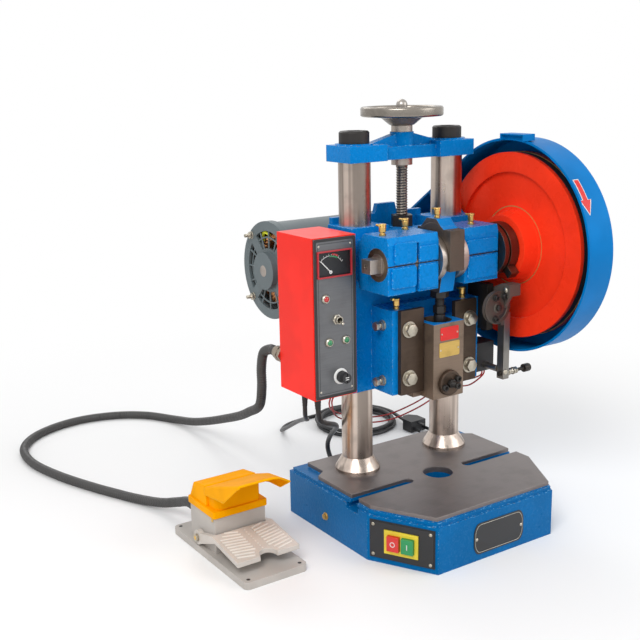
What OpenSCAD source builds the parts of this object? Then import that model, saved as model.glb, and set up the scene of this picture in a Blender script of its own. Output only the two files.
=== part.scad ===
// Bench punch press: cast base, two columns, a head that is raised by a handwheel,
// a crank and ram, a belt-driven flywheel, a control box and a foot pedal.
// The origin is the axis of the die hole at the underside of the base.
// X runs along the crankshaft to the flywheel, Y to the back, Z up.

/* [Base] */
// Height of the table above the floor
table_z = 84; // [76:1:100]
// Half the width of the table
table_half_w = 158; // [152:1:175]
// Half the width of the table's front edge
front_half_w = 109; // [100:1:120]
// From the die hole to the table's front edge
table_front = 127; // [118:1:140]
// From the die hole to the table's back edge
table_back = 153; // [148:1:170]
// How far back the table's full width runs
table_shoulder_y = 97; // [90:1:120]
// Where the front corners meet the sides
table_corner_y = -37; // [-60:1:-28]
// Thickness of the table plate
table_t = 28; // [25:1:34]
// Wall of the base casting
base_wall = 12; // [8:1:16]
// How far the painted body stands out from the table
step_out = 6; // [3:0.5:9]
// Radius of the die hole
die_hole_r = 23; // [15:0.5:28]
// Width of the table's slots
slot_w = 18; // [12:1:20]

/* [Columns and bridge] */
// Radius of a column
column_r = 24; // [20:0.5:26]
// From the middle to a column's axis
column_x = 88.3; // [84:0.5:94]
// From the die hole back to the columns' axes
column_y = 90; // [86:1:96]
// Height of the bridge's underside
bridge_z = 561; // [550:1:600]
// Thickness of the bridge
bridge_t = 24; // [18:1:32]
// Radius of the handwheel
wheel_r = 62; // [50:1:75]
// Radius of the lift screw
lift_screw_r = 9; // [7:0.5:10]

/* [Head] */
// Gap between the bridge and the sleeves round the columns
bridge_gap = 93; // [80:1:110]
// From the sleeves' top down to the crankshaft's axis
crank_drop = 45; // [41:0.5:49]
// Height of the sleeves round the columns
sleeve_h = 249; // [247:1:256]
// Left end of the left bearing block
block_left_x = 115; // [112:0.5:117]
// Right end of the right bearing block
block_right_x = 92; // [88:0.5:92.5]
// How far the bearing blocks stand forward
block_front = 25; // [23:0.5:30]
// Outer radius of a main bush
bush_r = 24; // [21:0.5:26]
// Half the width of the slideway
slideway_half_w = 83; // [80:0.5:83.5]

/* [Crank and ram] */
// Radius of the crankshaft's journals
journal_r = 16; // [13:0.5:17]
// Crank throw, half of the ram's stroke
crank_throw = 12.5; // [8:0.5:12.5]
// Radius of the crankpin
crankpin_r = 18; // [14:0.5:19]
// Width of the connecting rod
rod_w = 27; // [22:0.5:28]
// Half the width of the ram's front
ram_half_w = 29; // [26:0.5:29.5]
// How far the ram stands forward of its axis
ram_front = 22; // [21:0.5:26]
// From the crankshaft's axis down to the ram's underside at the top of its stroke
ram_drop = 211; // [209:1:219]
// Height of the ram
ram_h = 115; // [108:1:118]
// Radius of the hole for the punch shank
shank_r = 12.5; // [8:0.5:12.5]
// Depth of the hole for the punch shank
shank_depth = 50; // [35:1:56]

/* [Flywheel and drive] */
// Radius of the flywheel
flywheel_r = 143; // [130:1:148]
// Width of the flywheel's rim
flywheel_w = 33; // [30:1:36]
// Inner radius of the belt guard round the flywheel
guard_r = 161; // [156:1:170]
// Inner radius of the belt guard round the pulley
guard_small_r = 71; // [60:1:76]
// From the crankshaft back to the motor's axis
motor_y = 200; // [198:1:210]
// How far the motor's axis lies below the crankshaft's
motor_drop = 30; // [10:1:40]
// Radius of the motor's shell
motor_r = 73; // [66:1:74]
// Radius of the motor's pulley
pulley_r = 26; // [20:1:32]

/* [Control box] */
// Width of the control box
box_w = 74; // [70:1:80]
// Depth of the control box
box_d = 92; // [80:1:93]
// Height of the control box
box_h = 235; // [225:1:245]
// Sheet thickness of the control box
box_t = 1.5; // [1:0.1:2.5]

/* [Start and stop switch] */
// Width of the switch plate
switch_w = 100; // [80:1:104]
// Height of the switch plate
switch_h = 58; // [48:1:62]
// Travel of a push button
button_travel = 3; // [2:0.5:4]

/* [Foot pedal] */
// Width of the pedal's base
pedal_w = 102; // [95:1:106]
// Length of the pedal's base
pedal_l = 226; // [215:1:235]
// Thickness of the pedal's base
pedal_t = 11; // [8:1:14]
// Thickness of the treadle
treadle_t = 7; // [5:0.5:9]

/* [Cords] */
// Diameter of the ribbed conduit to the pedal
conduit_d = 16; // [14:0.5:18]
// Diameter of the mains lead
mains_d = 7; // [6:0.5:8]
// Diameter of the switch cable
cable_d = 8; // [6:0.5:9]
// Diameter of a solenoid lead
lead_d = 2.5; // [2:0.1:3]

/* [Clearances] */
// Radial clearance of a running fit
run = 0.05; // [0.02:0.01:0.08]
// Radial clearance of a seated fit within one body
seat = 0.02; // [0.01:0.01:0.05]
// Gap between faces that pass each other
face_gap = 0.3; // [0.25:0.05:0.5]

/* [Hidden] */
sleeve_top_z = bridge_z - bridge_gap;
crank_z = sleeve_top_z - crank_drop;
head_z = sleeve_top_z - sleeve_h;
ram_z = crank_z - ram_drop;
$fn = 64;
// Overrun of a cut past the face it opens
over = 1;

// Base
edge_h = 13;
ledge_h = 6;
back_ledge = 18;
notch_w = 17;
notch_run = 12;
corner_share = 0.4;
foot_boss_r = 37;
die_boss_r = 35;
foot_boss_z = 20;
slot_in = 60;
slot_depth = 12;
tee_w = 30;
tee_h = 9;
cable_x = 50;
cable_z = 40;
cable_hole_r = 3;
body_back = table_back + back_ledge;
body_h = table_z - edge_h;

// Columns
column_foot_z = foot_boss_z + 10 * over;
flare_r = 35;
flare_rim = 4;
flare_h = 22;
cap_screw_r = 15;
cap_head_r = 22.5;
cap_head_h = 18;
cap_socket = 22;
cap_socket_depth = 11;
cap_screw_grip = 38;

// Bridge, lift screw and handwheel
bridge_half_w = column_x + 28.7;
bridge_d = 61;
bridge_in = 50;
bridge_web_h = 19;
bridge_web_d = 40;
pad_r = 28;
pad_h = 2;
bridge_boss_r = 18;
bridge_boss_h = 15;
rib_t = 14;
rib_end = 64;
rib_rise = 12;
collar_r = 16;
collar_h = 9;
lower_collar_h = 10;
lift_screw_rise = 131;
lift_screw_z = head_z + lift_screw_rise;
lift_stud_r = 5;
lift_stud_h = 8;
wheel_z = bridge_z + bridge_t + bridge_boss_h + collar_h + 2 * run;
wheel_rim_w = 11;
wheel_rim_h = 15;
wheel_rise = 13;
wheel_dish_r = 31;
wheel_dish_h = 11;
wheel_hub_h = 21;
wheel_web_h = 16;
wheel_edge = 2;
dome_r = 8.5;
dome_h = 9;

// Head casting
sleeve_in = 50;
sleeve_out = 118;
sleeve_front = 58;
sleeve_back = 118;
web_back = 78;
web_top_z = sleeve_top_z - 10 * over;
lift_boss_w = 36;
lift_boss_back = 108;
lift_hole_clear = 1.5;
slideway_front = 7;
slideway_rise = 3;
slideway_z = head_z + slideway_rise;
slideway_h = 128;
block_back = 44;
block_above = 41;
block_below = 41;
block_cham_front = 3;
block_cham_h = 11;
block_cham_back = 12;
block_cham_back_h = 15;
neck_inset = 7;
gap_left_x = 24;
gap_right_x = 26;
slit_h = 2;
pinch_groove_x = 63;
pinch_groove_w = 6;
pinch_groove_d = 9;
box_pad_l = 13;
box_pad_y = 74;
box_pad_w = 30;
box_pad_h = 26;
box_pad_low = 40;
box_pad_high = 30;
lift_nut_af = 30;
lift_nut_h = 17;
gib_t = 8;
gib_in = ram_half_w + 1.5;
gib_out = 73;
gib_bolt_x = 58.5;
gib_bolt_low = 25;
gib_bolt_high = 99;
m10_r = 5;
m10_af = 17;
m10_head_h = 7;
m10_washer_r = 10.5;
m10_washer_t = 2;
gib_bolt_grip = 16;
m8_r = 4;
m8_af = 13;
m8_head_h = 5.5;
m8_nut_h = 6;
m8_nut_gap = 4;
set_screw_y = 30;
set_screw_low = 18.6;
set_screw_high = 103.4;
set_screw_grip = 20;
clamp_low = 31;
clamp_high = 81;
cup_r = 5;
cup_h = 8;
cup_stem_r = 3.4;
cup_stem_h = 7;
cup_sink = 6;
cup_lid_h = 2;
cup_lid_over = 0.8;
gib_cup_y = 16;
left_cup_share = 0.92;
mid_cup_share = 0.4;
right_cup_share = 0.65;

// Ram and slideway fit
flange_half_w = 44;
ram_back = 38;
cavity_r = 20;
cavity_front_y = 2;
cavity_back_y = 7;
cavity_depth = 43;
clamp_r = 19.5;
clamp_z = 22.7;
clamp_front = 6;
clamp_in = 8;
clamp_screw_r = 3;
clamp_head_r = 5;
clamp_head_h = 5;
clamp_screw_x = 12.5;
clamp_screw_grip = 6;
jam_r = 5;
jam_l = 18;
jam_socket = 5;
jam_nut_af = 12;
jam_nut_h = 6;

// Crankshaft, clutch and connecting rod
cheek_r = 35;
square_w = 20;
square_l = 20;
centre_r = 3;
centre_d = 4;
shaft_end_x = 176;
rod_side = 0.5;
pin_z = crank_z + crank_throw;
clutch_r = 40;
clutch_w = 28;
clutch_gap = 1.2;
clutch_groove_w = 4;
clutch_groove_d = 4;
clutch_groove_x = 8;
tail_w = 16;
tail_t = 12;
tail_out = 13;
tail_angle = 225;
rod_wall = 20;
lug_y = 35;
lug_h = 17;
cap_lug_h = 30;
crown_h = 44;
crown_y = 7;
lug_t = 12;
split_gap = 0.6;
rod_l = 63.5;
neck_top_y = 24;
neck_low_y = 15;
rod_end_r = 14;
rod_end_h = 16;
adjust_r = 7;
adjust_l = 103;
adjust_in = 30;
ball_r = 10;
rod_nut_af = 24;
rod_nut_h = 10;

// Flywheel, belt and guard
fly_x = 141;
groove_in = 7;
groove_w = 13;
groove_d = 9;
rim_in = 18;
rim_step = 6;
rim_step_r = 30;
web_t = 11;
hub_x = 123;
hub_r = 49;
hub_foot_r = 55;
belt_t = 8;
motor_z = crank_z - motor_drop;
belt_play = 0.3;
guard_x = 135;
guard_w = 51;
guard_t = 2;
guard_lip = 1.5;
guard_tab_front = 36;
guard_tab_l = 49;
guard_tab_w = 24;
guard_tab_h = 8;
stay_t = 4;
stay_y = 92;
stay_h = 24;
stay_low_share = 0.35;
stay_near_share = 0.42;
stay_far_share = 0.62;

// Motor
plate_t = 8;
plate_left = 110;
plate_right = 60;
plate_below = 53;
plate_above = 9;
plate_top_z = sleeve_top_z + plate_above;
lug_left = 26;
lug_right = 8;
lug_rise = 14;
lug_slope = 8;
motor_left = 162;
motor_right = 70;
shell_t = 6;
motor_foot_z = 45;
motor_foot_h = 18;
motor_foot_w = 30;
motor_foot_x = 35;
motor_mid_x = -40;
motor_reach = 26;
bell_w = 12;
bell_over = 3;
bell_rim = 12;
spoke_w = 18;
bell_hub_r = 29;
bell_hub_l = 10;
bell_web_t = 5;
motor_shaft_r = 8;
stator_in = 46;
stator_left = 130;
stator_right = 40;
air_gap = 1;
rotor_trim = 8;
pulley_w = 19;
pulley_hub_r = 14;

// Clutch trip and solenoid
trip_x = 96;
trip_t = 6;
trip_y = -4;
trip_drop = 87;
trip_z = crank_z - trip_drop;
trip_pin_r = 5;
trip_pin_head_r = 8;
trip_pin_head_t = 3;
trip_plate_r = 27;
trip_slot_r = 18;
trip_slot_w = 6;
trip_face_x = 82;
trip_face_up = 4;
trip_face_r = 25;
trip_face_t = 5;
bracket_front = 14;
bracket_back = 30;
bracket_low = 36;
bracket_high = 36;
bracket_t = 12;
post_y = 8;
post_drop = 121;
post_z = crank_z - post_drop;
post_r = 8.5;
post_l = 8;
lever_w = 12;
lever_d = 14;
lever_front = 32;
lever_foot = 114;
lever_top = 8;
pawl_drop = 49;
pawl_top_z = crank_z - pawl_drop;
pawl_h = 18;
pawl_w = 22;
pawl_front = 48;
pawl_back = 30;
adjuster_drop = 106;
adjuster_r = 2.6;
adjuster_l = 50;
adjuster_head_r = 4;
knob_r = 6.5;
knob_w = 12;
adjuster_nut_af = 10;
adjuster_nut_h = 4;
adjuster_nut_x = 14;
solenoid_y = 12;
solenoid_d = 34;
solenoid_w = 40;
solenoid_h = 46;
solenoid_rise = 4;
plunger_r = 5;
plunger_x = 104;
plunger_rise = 10;
plunger_in = 8;
plunger_play = 0.8;
plunger_bore = 24;
solenoid_lead_y = 20;

// Control box and panel
box_y = 30;
box_rise = 12;
box_z = head_z + box_rise;
panel_edge = 1.5;
panel_t = 1.5;
meter_x = 36;
meter_drop = 38;
meter_z = box_h - meter_drop;
meter_w = 56;
meter_h = 36;
meter_frame = 1.5;
meter_out = 3;
meter_back = 24;
dial_w = 50;
dial_h = 30;
dial_depth = 5;
needle_x = 31;
needle_drop = 12;
needle_z = meter_z - needle_drop;
needle_l = 24;
needle_w = 1.2;
needle_t = 0.6;
needle_hub_r = 2.5;
needle_pin_r = 0.8;
needle_rest = 45;
lamp_r = 5;
lamp_head_r = 6.5;
lamp_out = 4;
lamp_in = 20;
red_lamp_x = 20;
fuse_z = 31;
panel_run = meter_z - fuse_z;
red_lamp_z = fuse_z + panel_run * 117 / 166;
green_lamp_x = 25;
green_lamp_gap = 29;
green_lamp_z = fuse_z + panel_run * 53 / 166;
toggle_x = 39;
toggle_z = fuse_z + panel_run * 85 / 166;
toggle_bush_r = 6;
toggle_out = 8;
toggle_bore_r = 4.2;
toggle_body = 16;
toggle_r = 1.6;
toggle_tip_r = 2.4;
toggle_l = 17;
toggle_ball_r = 3;
toggle_pin_r = 1.2;
toggle_pin_l = 7;
toggle_tilt = 12;
fuse_x = 44;
fuse_r = 9;
fuse_out = 5;
fuse_in = 24;
fuse_cap_r = 7.4;
fuse_cap_l = 12;
fuse_stem_r = 5;
fuse_stem_l = 12;
fuse_slot_w = 1.6;
fuse_slot_d = 2;
gland_x = 8;
gland_z = 48;
gland_af = 22;
gland_nut_l = 11;
gland_l = 24;
gland_r = 10.5;
gland_bore_r = 5;
gland_thread_r = 6.3;
gland_in = 6;
mains_x = 20;
mains_y = 58;
cable_box_x = 27;
cable_box_y = 34;
leads_x = 55;
leads_y = 40;

// Start and stop switch
plate_out = 3;
plate_cham = 1.5;
switch_mid_z = 37;
bezel_w = 52;
bezel_h = 36;
bezel_out = 2;
bezel_in = 26;
bezel_body_w = 46;
bezel_body_h = 30;
button_w = 19;
button_h = 23;
button_gap = 3;
button_out = 5;
button_in = 9;
button_play = 0.4;
button_well = 14;

// Foot pedal
pedal_x = -302;
pedal_y = -14;
pedal_corner = 8;
house_w = 84;
house_front = 88;
house_l = 77;
house_h = 55;
house_t = 4;
pedal_pivot_y = 130;
pedal_pivot_z = 24;
pedal_pin_r = 4;
pedal_pin_head = 6;
arm_w = 8;
arm_r = 11;
arm_gap = 0.5;
treadle_front = 8;
treadle_back = 84;
treadle_front_z = 25;
treadle_back_z = 36;
treadle_toe_r = 14;
ferrule_x = -325;
ferrule_z = 45;
ferrule_l = 8;
ferrule_r = 11;
ferrule_bore_r = 6;
lip_out = 3;
lip_h = 11;
hood_t = 3;
hood_top_y = 112;
hood_top = 42;
hood_back_y = 150;
hood_back = 26;
hood_shoulder = 3;
visor_front = 14;
visor_front_z = 143;
wing_front_y = 24;
wing_front_z = 119;
wing_low_y = 85;
wing_low_z = 100;
visor_out = 4;

// Cords, coil and plug
coil_x = 163;
coil_y = 446;
coil_r = 82;
coil_pitch = 8.8;
coil_turns_in = 1.375;
coil_turns_climb = 0.5;
coil_steps = 24;
coil_sides = 6;
coil_start = 90;
cord_sides = 8;
hose_ribs = 176;
hose_rib_share = 0.9;
hose_bore_share = 0.68;
plug_w = 36;
plug_l = 40;
plug_t = 22;
plug_nose = 14;
plug_pin_l = 18;
plug_pin_w = 6;
plug_pin_t = 1.6;
plug_pin_gap = 11;
plug_pin_rise = 7;
plug_cord_z = 12;

// Turned to lie along X
module along_x() { rotate([90, 0, 90]) children(); }
module rod_x(r, x0, x1, y, z) {
    translate([x0, y, z]) along_x() cylinder(r = r, h = x1 - x0);
}
// From y0 back to y1
module rod_y(r, x, z, y0, y1) {
    translate([x, y1, z]) rotate([90, 0, 0]) cylinder(r = r, h = y1 - y0);
}
module hex_y(af, x, z, y0, y1) {
    translate([x, y1, z]) rotate([90, 0, 0]) cylinder(r = af / sqrt(3), h = y1 - y0, $fn = 6);
}
module hex_x(af, x0, x1, y, z) {
    translate([x0, y, z]) along_x() cylinder(r = af / sqrt(3), h = x1 - x0, $fn = 6);
}
module span(lo, hi) { translate(lo) cube(hi - lo); }
module both_sides() {
    children();
    mirror([1, 0, 0]) children();
}

// Outline of a belt drive: two circles and their common tangents
tangent_share = 0.9995;
drive_d = norm([motor_y, motor_drop]);
drive_a = atan2(-motor_drop, motor_y);
function lean(big, small) = acos((big - small) / drive_d);
function tangent_point(big, small, side, far) =
    [far * motor_y, crank_z - far * motor_drop] + tangent_share * (far == 0 ? big : small)
    * [cos(drive_a + side * lean(big, small)), sin(drive_a + side * lean(big, small))];
module drive_shape(big, small) {
    translate([0, crank_z]) circle(r = big, $fn = 128);
    translate([motor_y, motor_z]) circle(r = small);
    polygon([[0, crank_z], tangent_point(big, small, -1, 0), tangent_point(big, small, -1, 1),
        [motor_y, motor_z], tangent_point(big, small, 1, 1), tangent_point(big, small, 1, 0)]);
}
function guard_point(side, share) = tangent_point(guard_r, guard_small_r, side, 0) * (1 - share)
    + tangent_point(guard_r, guard_small_r, side, 1) * share;

// Base
function mirrored(pts) = concat(pts, [for (i = [len(pts) - 1:-1:0]) [-pts[i][0], pts[i][1]]]);
module table_shape() {
    polygon(mirrored([[front_half_w, -table_front], [table_half_w, table_corner_y],
        [table_half_w, table_shoulder_y], [table_half_w - notch_w, table_shoulder_y + notch_run],
        [table_half_w - notch_w, table_back]]));
}
module body_shape(out, back) {
    polygon(mirrored([[front_half_w + corner_share * out, -table_front - out],
        [table_half_w + out, table_corner_y], [table_half_w + out, back]]));
}
module table_slot() {
    z = table_z - slot_depth;
    span([slot_in, -slot_w / 2, z], [table_half_w + step_out + over, slot_w / 2, table_z + over]);
    translate([slot_in, 0, z]) cylinder(d = slot_w, h = slot_depth + over);
    span([slot_in, -tee_w / 2, z - tee_h],
        [table_half_w + step_out + over, tee_w / 2, z + seat]);
}
module foot_places() {
    for (s = [-1, 1]) translate([s * column_x, column_y, 0]) children();
}
module base_casting() color("royalblue") difference() {
    union() {
        difference() {
            union() {
                linear_extrude(body_h) body_shape(step_out, body_back);
                translate([0, 0, body_h]) linear_extrude(ledge_h)
                    body_shape(step_out / 2, body_back - step_out);
                translate([0, 0, body_h]) linear_extrude(edge_h) table_shape();
            }
            translate([0, 0, -over]) linear_extrude(table_z - table_t + over)
                body_shape(step_out - base_wall, body_back - base_wall);
        }
        foot_places() translate([0, 0, foot_boss_z])
            cylinder(r = foot_boss_r, h = table_z - table_t - foot_boss_z + over);
        cylinder(r = die_boss_r, h = table_z - table_t + over);
    }
    foot_places() translate([0, 0, foot_boss_z - over])
        cylinder(r = column_r + seat, h = table_z - foot_boss_z + 2 * over);
    translate([0, 0, -over]) cylinder(r = die_hole_r, h = table_z + 2 * over);
    both_sides() table_slot();
    on_chamfer() span([-(bezel_body_w / 2 + seat), -over, switch_mid_z - bezel_body_h / 2 - seat],
        [bezel_body_w / 2 + seat, 2 * base_wall, switch_mid_z + bezel_body_h / 2 + seat]);
    rod_y(cable_hole_r, -cable_x, cable_z, body_back - base_wall - over, body_back + over);
}

// Columns with their flared feet
module columns() color("silver") foot_places() difference() {
    union() {
        translate([0, 0, column_foot_z]) cylinder(r = column_r, h = bridge_z - column_foot_z);
        rotate_extrude() polygon([[0, table_z], [flare_r, table_z], [flare_r, table_z + flare_rim],
            [column_r + seat, table_z + flare_h], [0, table_z + flare_h]]);
    }
    translate([0, 0, bridge_z - cap_screw_grip - over])
        cylinder(r = cap_screw_r + seat, h = cap_screw_grip + 2 * over);
}

// Bridge across the column tops
module bridge() color("royalblue") {
    y0 = column_y - bridge_d / 2;
    difference() {
        union() {
            both_sides() {
                span([bridge_in, y0, bridge_z], [bridge_half_w, y0 + bridge_d, bridge_z + bridge_t]);
                translate([column_x, column_y, bridge_z + bridge_t]) cylinder(r = pad_r, h = pad_h);
            }
            span([-bridge_in, column_y - bridge_web_d / 2, bridge_z],
                [bridge_in, column_y + bridge_web_d / 2, bridge_z + bridge_web_h]);
            translate([0, column_y + rib_t / 2, 0]) rotate([90, 0, 0]) linear_extrude(rib_t)
                polygon(mirrored([[rib_end, bridge_z + bridge_web_h],
                    [rib_end, bridge_z + bridge_t], [bridge_boss_r, bridge_z + bridge_t + rib_rise]]));
            translate([0, column_y, bridge_z])
                cylinder(r = bridge_boss_r, h = bridge_t + bridge_boss_h);
        }
        foot_places() translate([0, 0, bridge_z - over])
            cylinder(r = cap_screw_r + seat, h = bridge_t + pad_h + 2 * over);
        translate([0, column_y, bridge_z - over])
            cylinder(r = lift_screw_r + run, h = bridge_t + bridge_boss_h + 2 * over);
    }
}
module bridge_screws() color("dimgray") foot_places() {
    z = bridge_z + bridge_t + pad_h;
    difference() {
        union() {
            translate([0, 0, z]) cylinder(r = cap_head_r, h = cap_head_h);
            translate([0, 0, bridge_z - cap_screw_grip])
                cylinder(r = cap_screw_r, h = z - bridge_z + cap_screw_grip);
        }
        translate([0, 0, z + cap_head_h - cap_socket_depth])
            cylinder(r = cap_socket / sqrt(3), h = cap_socket_depth + over, $fn = 6);
    }
}

// Handwheel and lift screw
module on_lift_axis() { translate([0, column_y, 0]) children(); }
module handwheel() color("silver") on_lift_axis() {
    in_r = lift_screw_r + seat;
    rim_z = wheel_z + wheel_rise;
    top_z = rim_z + wheel_rim_h;
    rotate_extrude($fn = 96) polygon([[in_r, wheel_z], [collar_r, wheel_z],
        [wheel_dish_r, wheel_z + wheel_dish_h], [wheel_r - wheel_rim_w, rim_z],
        [wheel_r - wheel_edge, rim_z], [wheel_r, rim_z + wheel_edge], [wheel_r, top_z - wheel_edge],
        [wheel_r - wheel_edge, top_z], [wheel_r - wheel_rim_w + wheel_edge, top_z],
        [wheel_r - wheel_rim_w, top_z - wheel_edge], [wheel_r - wheel_rim_w - wheel_edge,
        wheel_z + wheel_web_h + wheel_edge], [collar_r + wheel_edge, wheel_z + wheel_web_h],
        [collar_r - wheel_edge, wheel_z + wheel_hub_h], [in_r, wheel_z + wheel_hub_h]]);
}
module lift_screw() color("gray") on_lift_axis() {
    top_z = wheel_z + wheel_hub_h;
    translate([0, 0, lift_screw_z]) cylinder(r = lift_screw_r, h = top_z - lift_screw_z);
    translate([0, 0, top_z]) cylinder(r = lift_stud_r, h = lift_stud_h);
}
module thrust_collars() color("peru") on_lift_axis() {
    for (zh = [[bridge_z + bridge_t + bridge_boss_h + run, collar_h],
        [bridge_z - lower_collar_h - run, lower_collar_h]])
        translate([0, 0, zh[0]]) difference() {
            cylinder(r = collar_r, h = zh[1]);
            translate([0, 0, -over]) cylinder(r = lift_screw_r + seat, h = zh[1] + 2 * over);
        }
}
module dome_nut() color("gainsboro") on_lift_axis() {
    translate([0, 0, wheel_z + wheel_hub_h]) difference() {
        union() {
            cylinder(r = dome_r, h = dome_h);
            intersection() {
                translate([0, 0, dome_h]) sphere(r = dome_r);
                translate([0, 0, dome_h - over]) cylinder(r = dome_r, h = dome_r + 2 * over);
            }
        }
        translate([0, 0, -over]) cylinder(r = lift_stud_r + seat, h = lift_stud_h + over + seat);
    }
}

// Head casting and what it carries
block_top_z = crank_z + block_above;
block_low_z = crank_z - block_below;
pad_x = sleeve_out + box_pad_l;
module block_shape() {
    polygon([[-block_front, block_low_z], [-block_front, block_top_z - block_cham_h],
        [-block_front + block_cham_front, block_top_z],
        [block_back - block_cham_back, block_top_z], [block_back, block_top_z - block_cham_back_h],
        [block_back, block_low_z]]);
}
module clamp_screw_places() {
    for (s = [-1, 1], h = [clamp_low, clamp_high])
        translate([s * column_x, sleeve_back, head_z + h]) rotate([-90, 0, 0]) children();
}
module gib_screw_places() {
    for (h = [set_screw_low, set_screw_high])
        translate([-slideway_half_w, set_screw_y, slideway_z + h]) rotate([0, -90, 0]) children();
}
module gib_bolt_places() {
    for (s = [-1, 1], h = [gib_bolt_low, gib_bolt_high])
        translate([s * gib_bolt_x, slideway_front - gib_t, slideway_z + h]) children();
}
module head_casting() color("royalblue") difference() {
    union() {
        both_sides() span([sleeve_in, sleeve_front, head_z], [sleeve_out, sleeve_back, sleeve_top_z]);
        span([-sleeve_in, sleeve_front, head_z], [sleeve_in, web_back, web_top_z]);
        span([-lift_boss_w / 2, sleeve_front, head_z], [lift_boss_w / 2, lift_boss_back, web_top_z]);
        span([-slideway_half_w, slideway_front, slideway_z],
            [slideway_half_w, sleeve_front, slideway_z + slideway_h]);
        translate([-block_left_x, 0, 0]) along_x()
            linear_extrude(block_left_x + block_right_x) block_shape();
        span([-block_left_x + neck_inset, block_back, block_low_z + neck_inset],
            [block_right_x - neck_inset, sleeve_front, web_top_z - neck_inset]);
        for (h = [box_pad_low, sleeve_top_z - head_z - box_pad_high - box_pad_h])
            span([-pad_x, box_pad_y, head_z + h],
                [-sleeve_out, box_pad_y + box_pad_w, head_z + h + box_pad_h]);
    }
    foot_places() translate([0, 0, head_z - over])
        cylinder(r = column_r + run, h = sleeve_top_z - head_z + 2 * over);
    on_lift_axis() translate([0, 0, head_z - over])
        cylinder(r = lift_screw_r + lift_hole_clear, h = web_top_z - head_z + 2 * over);
    span([-flange_half_w, slideway_front - over, slideway_z - over],
        [flange_half_w, ram_back + run, slideway_z + slideway_h + over]);
    span([-gap_left_x, -block_front - over, block_low_z - over],
        [gap_right_x, sleeve_front, block_top_z + over]);
    rod_x(bush_r + seat, -block_left_x - over, block_right_x + over, 0, crank_z);
    span([-block_left_x - over, -block_front - over, crank_z - slit_h / 2],
        [block_right_x + over, 0, crank_z + slit_h / 2]);
    span([-pinch_groove_x - pinch_groove_w / 2, -block_front - over, block_low_z - over],
        [-pinch_groove_x + pinch_groove_w / 2, -block_front + pinch_groove_d,
        block_top_z - block_cham_h]);
    clamp_screw_places() translate([0, 0, column_r + column_y - sleeve_back - over])
        cylinder(r = m8_r + seat, h = sleeve_back - column_y - column_r + 2 * over);
    gib_screw_places() translate([0, 0, -set_screw_grip])
        cylinder(r = m8_r + seat, h = set_screw_grip + over);
    gib_bolt_places() rotate([-90, 0, 0]) cylinder(r = m10_r + seat, h = gib_t + gib_bolt_grip);
    for (p = cup_places) translate([p[0], p[1], p[2] - cup_sink])
        cylinder(r = cup_stem_r + seat, h = cup_sink + over);
}
module lift_nut() color("dimgray") on_lift_axis() translate([0, 0, web_top_z]) difference() {
    cylinder(r = lift_nut_af / sqrt(3), h = lift_nut_h, $fn = 6);
    translate([0, 0, -over]) cylinder(r = lift_screw_r + run, h = lift_nut_h + 2 * over);
}
module main_bushes() color("goldenrod")
    for (x = [[-block_left_x, -gap_left_x], [gap_right_x, block_right_x]]) difference() {
        rod_x(bush_r, x[0], x[1], 0, crank_z);
        rod_x(journal_r + run, x[0] - over, x[1] + over, 0, crank_z);
    }
cup_places = [[-left_cup_share * block_left_x, 0, block_top_z],
    [-mid_cup_share * block_left_x, block_front, block_top_z],
    [right_cup_share * block_right_x, 0, block_top_z],
    [-(flange_half_w + gib_out) / 2 - m10_washer_r, gib_cup_y, slideway_z + slideway_h],
    [(flange_half_w + gib_out) / 2, gib_cup_y, slideway_z + slideway_h]];
module oil_cups() color("goldenrod") for (p = cup_places) translate(p) {
    translate([0, 0, -cup_sink]) cylinder(r = cup_stem_r, h = cup_sink + cup_stem_h);
    translate([0, 0, cup_stem_h]) cylinder(r = cup_r, h = cup_h);
    translate([0, 0, cup_stem_h + cup_h]) cylinder(r = cup_r + cup_lid_over, h = cup_lid_h);
}
module gib_plates() color("gray") difference() {
    both_sides() span([gib_in, slideway_front - gib_t, slideway_z],
        [gib_out, slideway_front, slideway_z + slideway_h]);
    gib_bolt_places() translate([0, -over, 0]) rotate([-90, 0, 0])
        cylinder(r = m10_r + seat, h = gib_t + 2 * over);
}
module gib_bolts() color("silver") gib_bolt_places() {
    rotate([90, 0, 0]) cylinder(r = m10_washer_r, h = m10_washer_t);
    hex_y(m10_af, 0, 0, -m10_washer_t - m10_head_h, -m10_washer_t);
    rotate([-90, 0, 0]) cylinder(r = m10_r, h = gib_t + gib_bolt_grip - over);
}
module m8_screw(grip) {
    translate([0, 0, -grip]) cylinder(r = m8_r, h = grip + m8_nut_h + m8_nut_gap + seat);
    cylinder(r = m8_af / sqrt(3), h = m8_nut_h, $fn = 6);
    translate([0, 0, m8_nut_h + m8_nut_gap]) cylinder(r = m8_af / sqrt(3), h = m8_head_h, $fn = 6);
}
module head_set_screws() color("silver") {
    gib_screw_places() m8_screw(set_screw_grip - over);
    clamp_screw_places() m8_screw(sleeve_back - column_y - column_r - face_gap);
}

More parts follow.
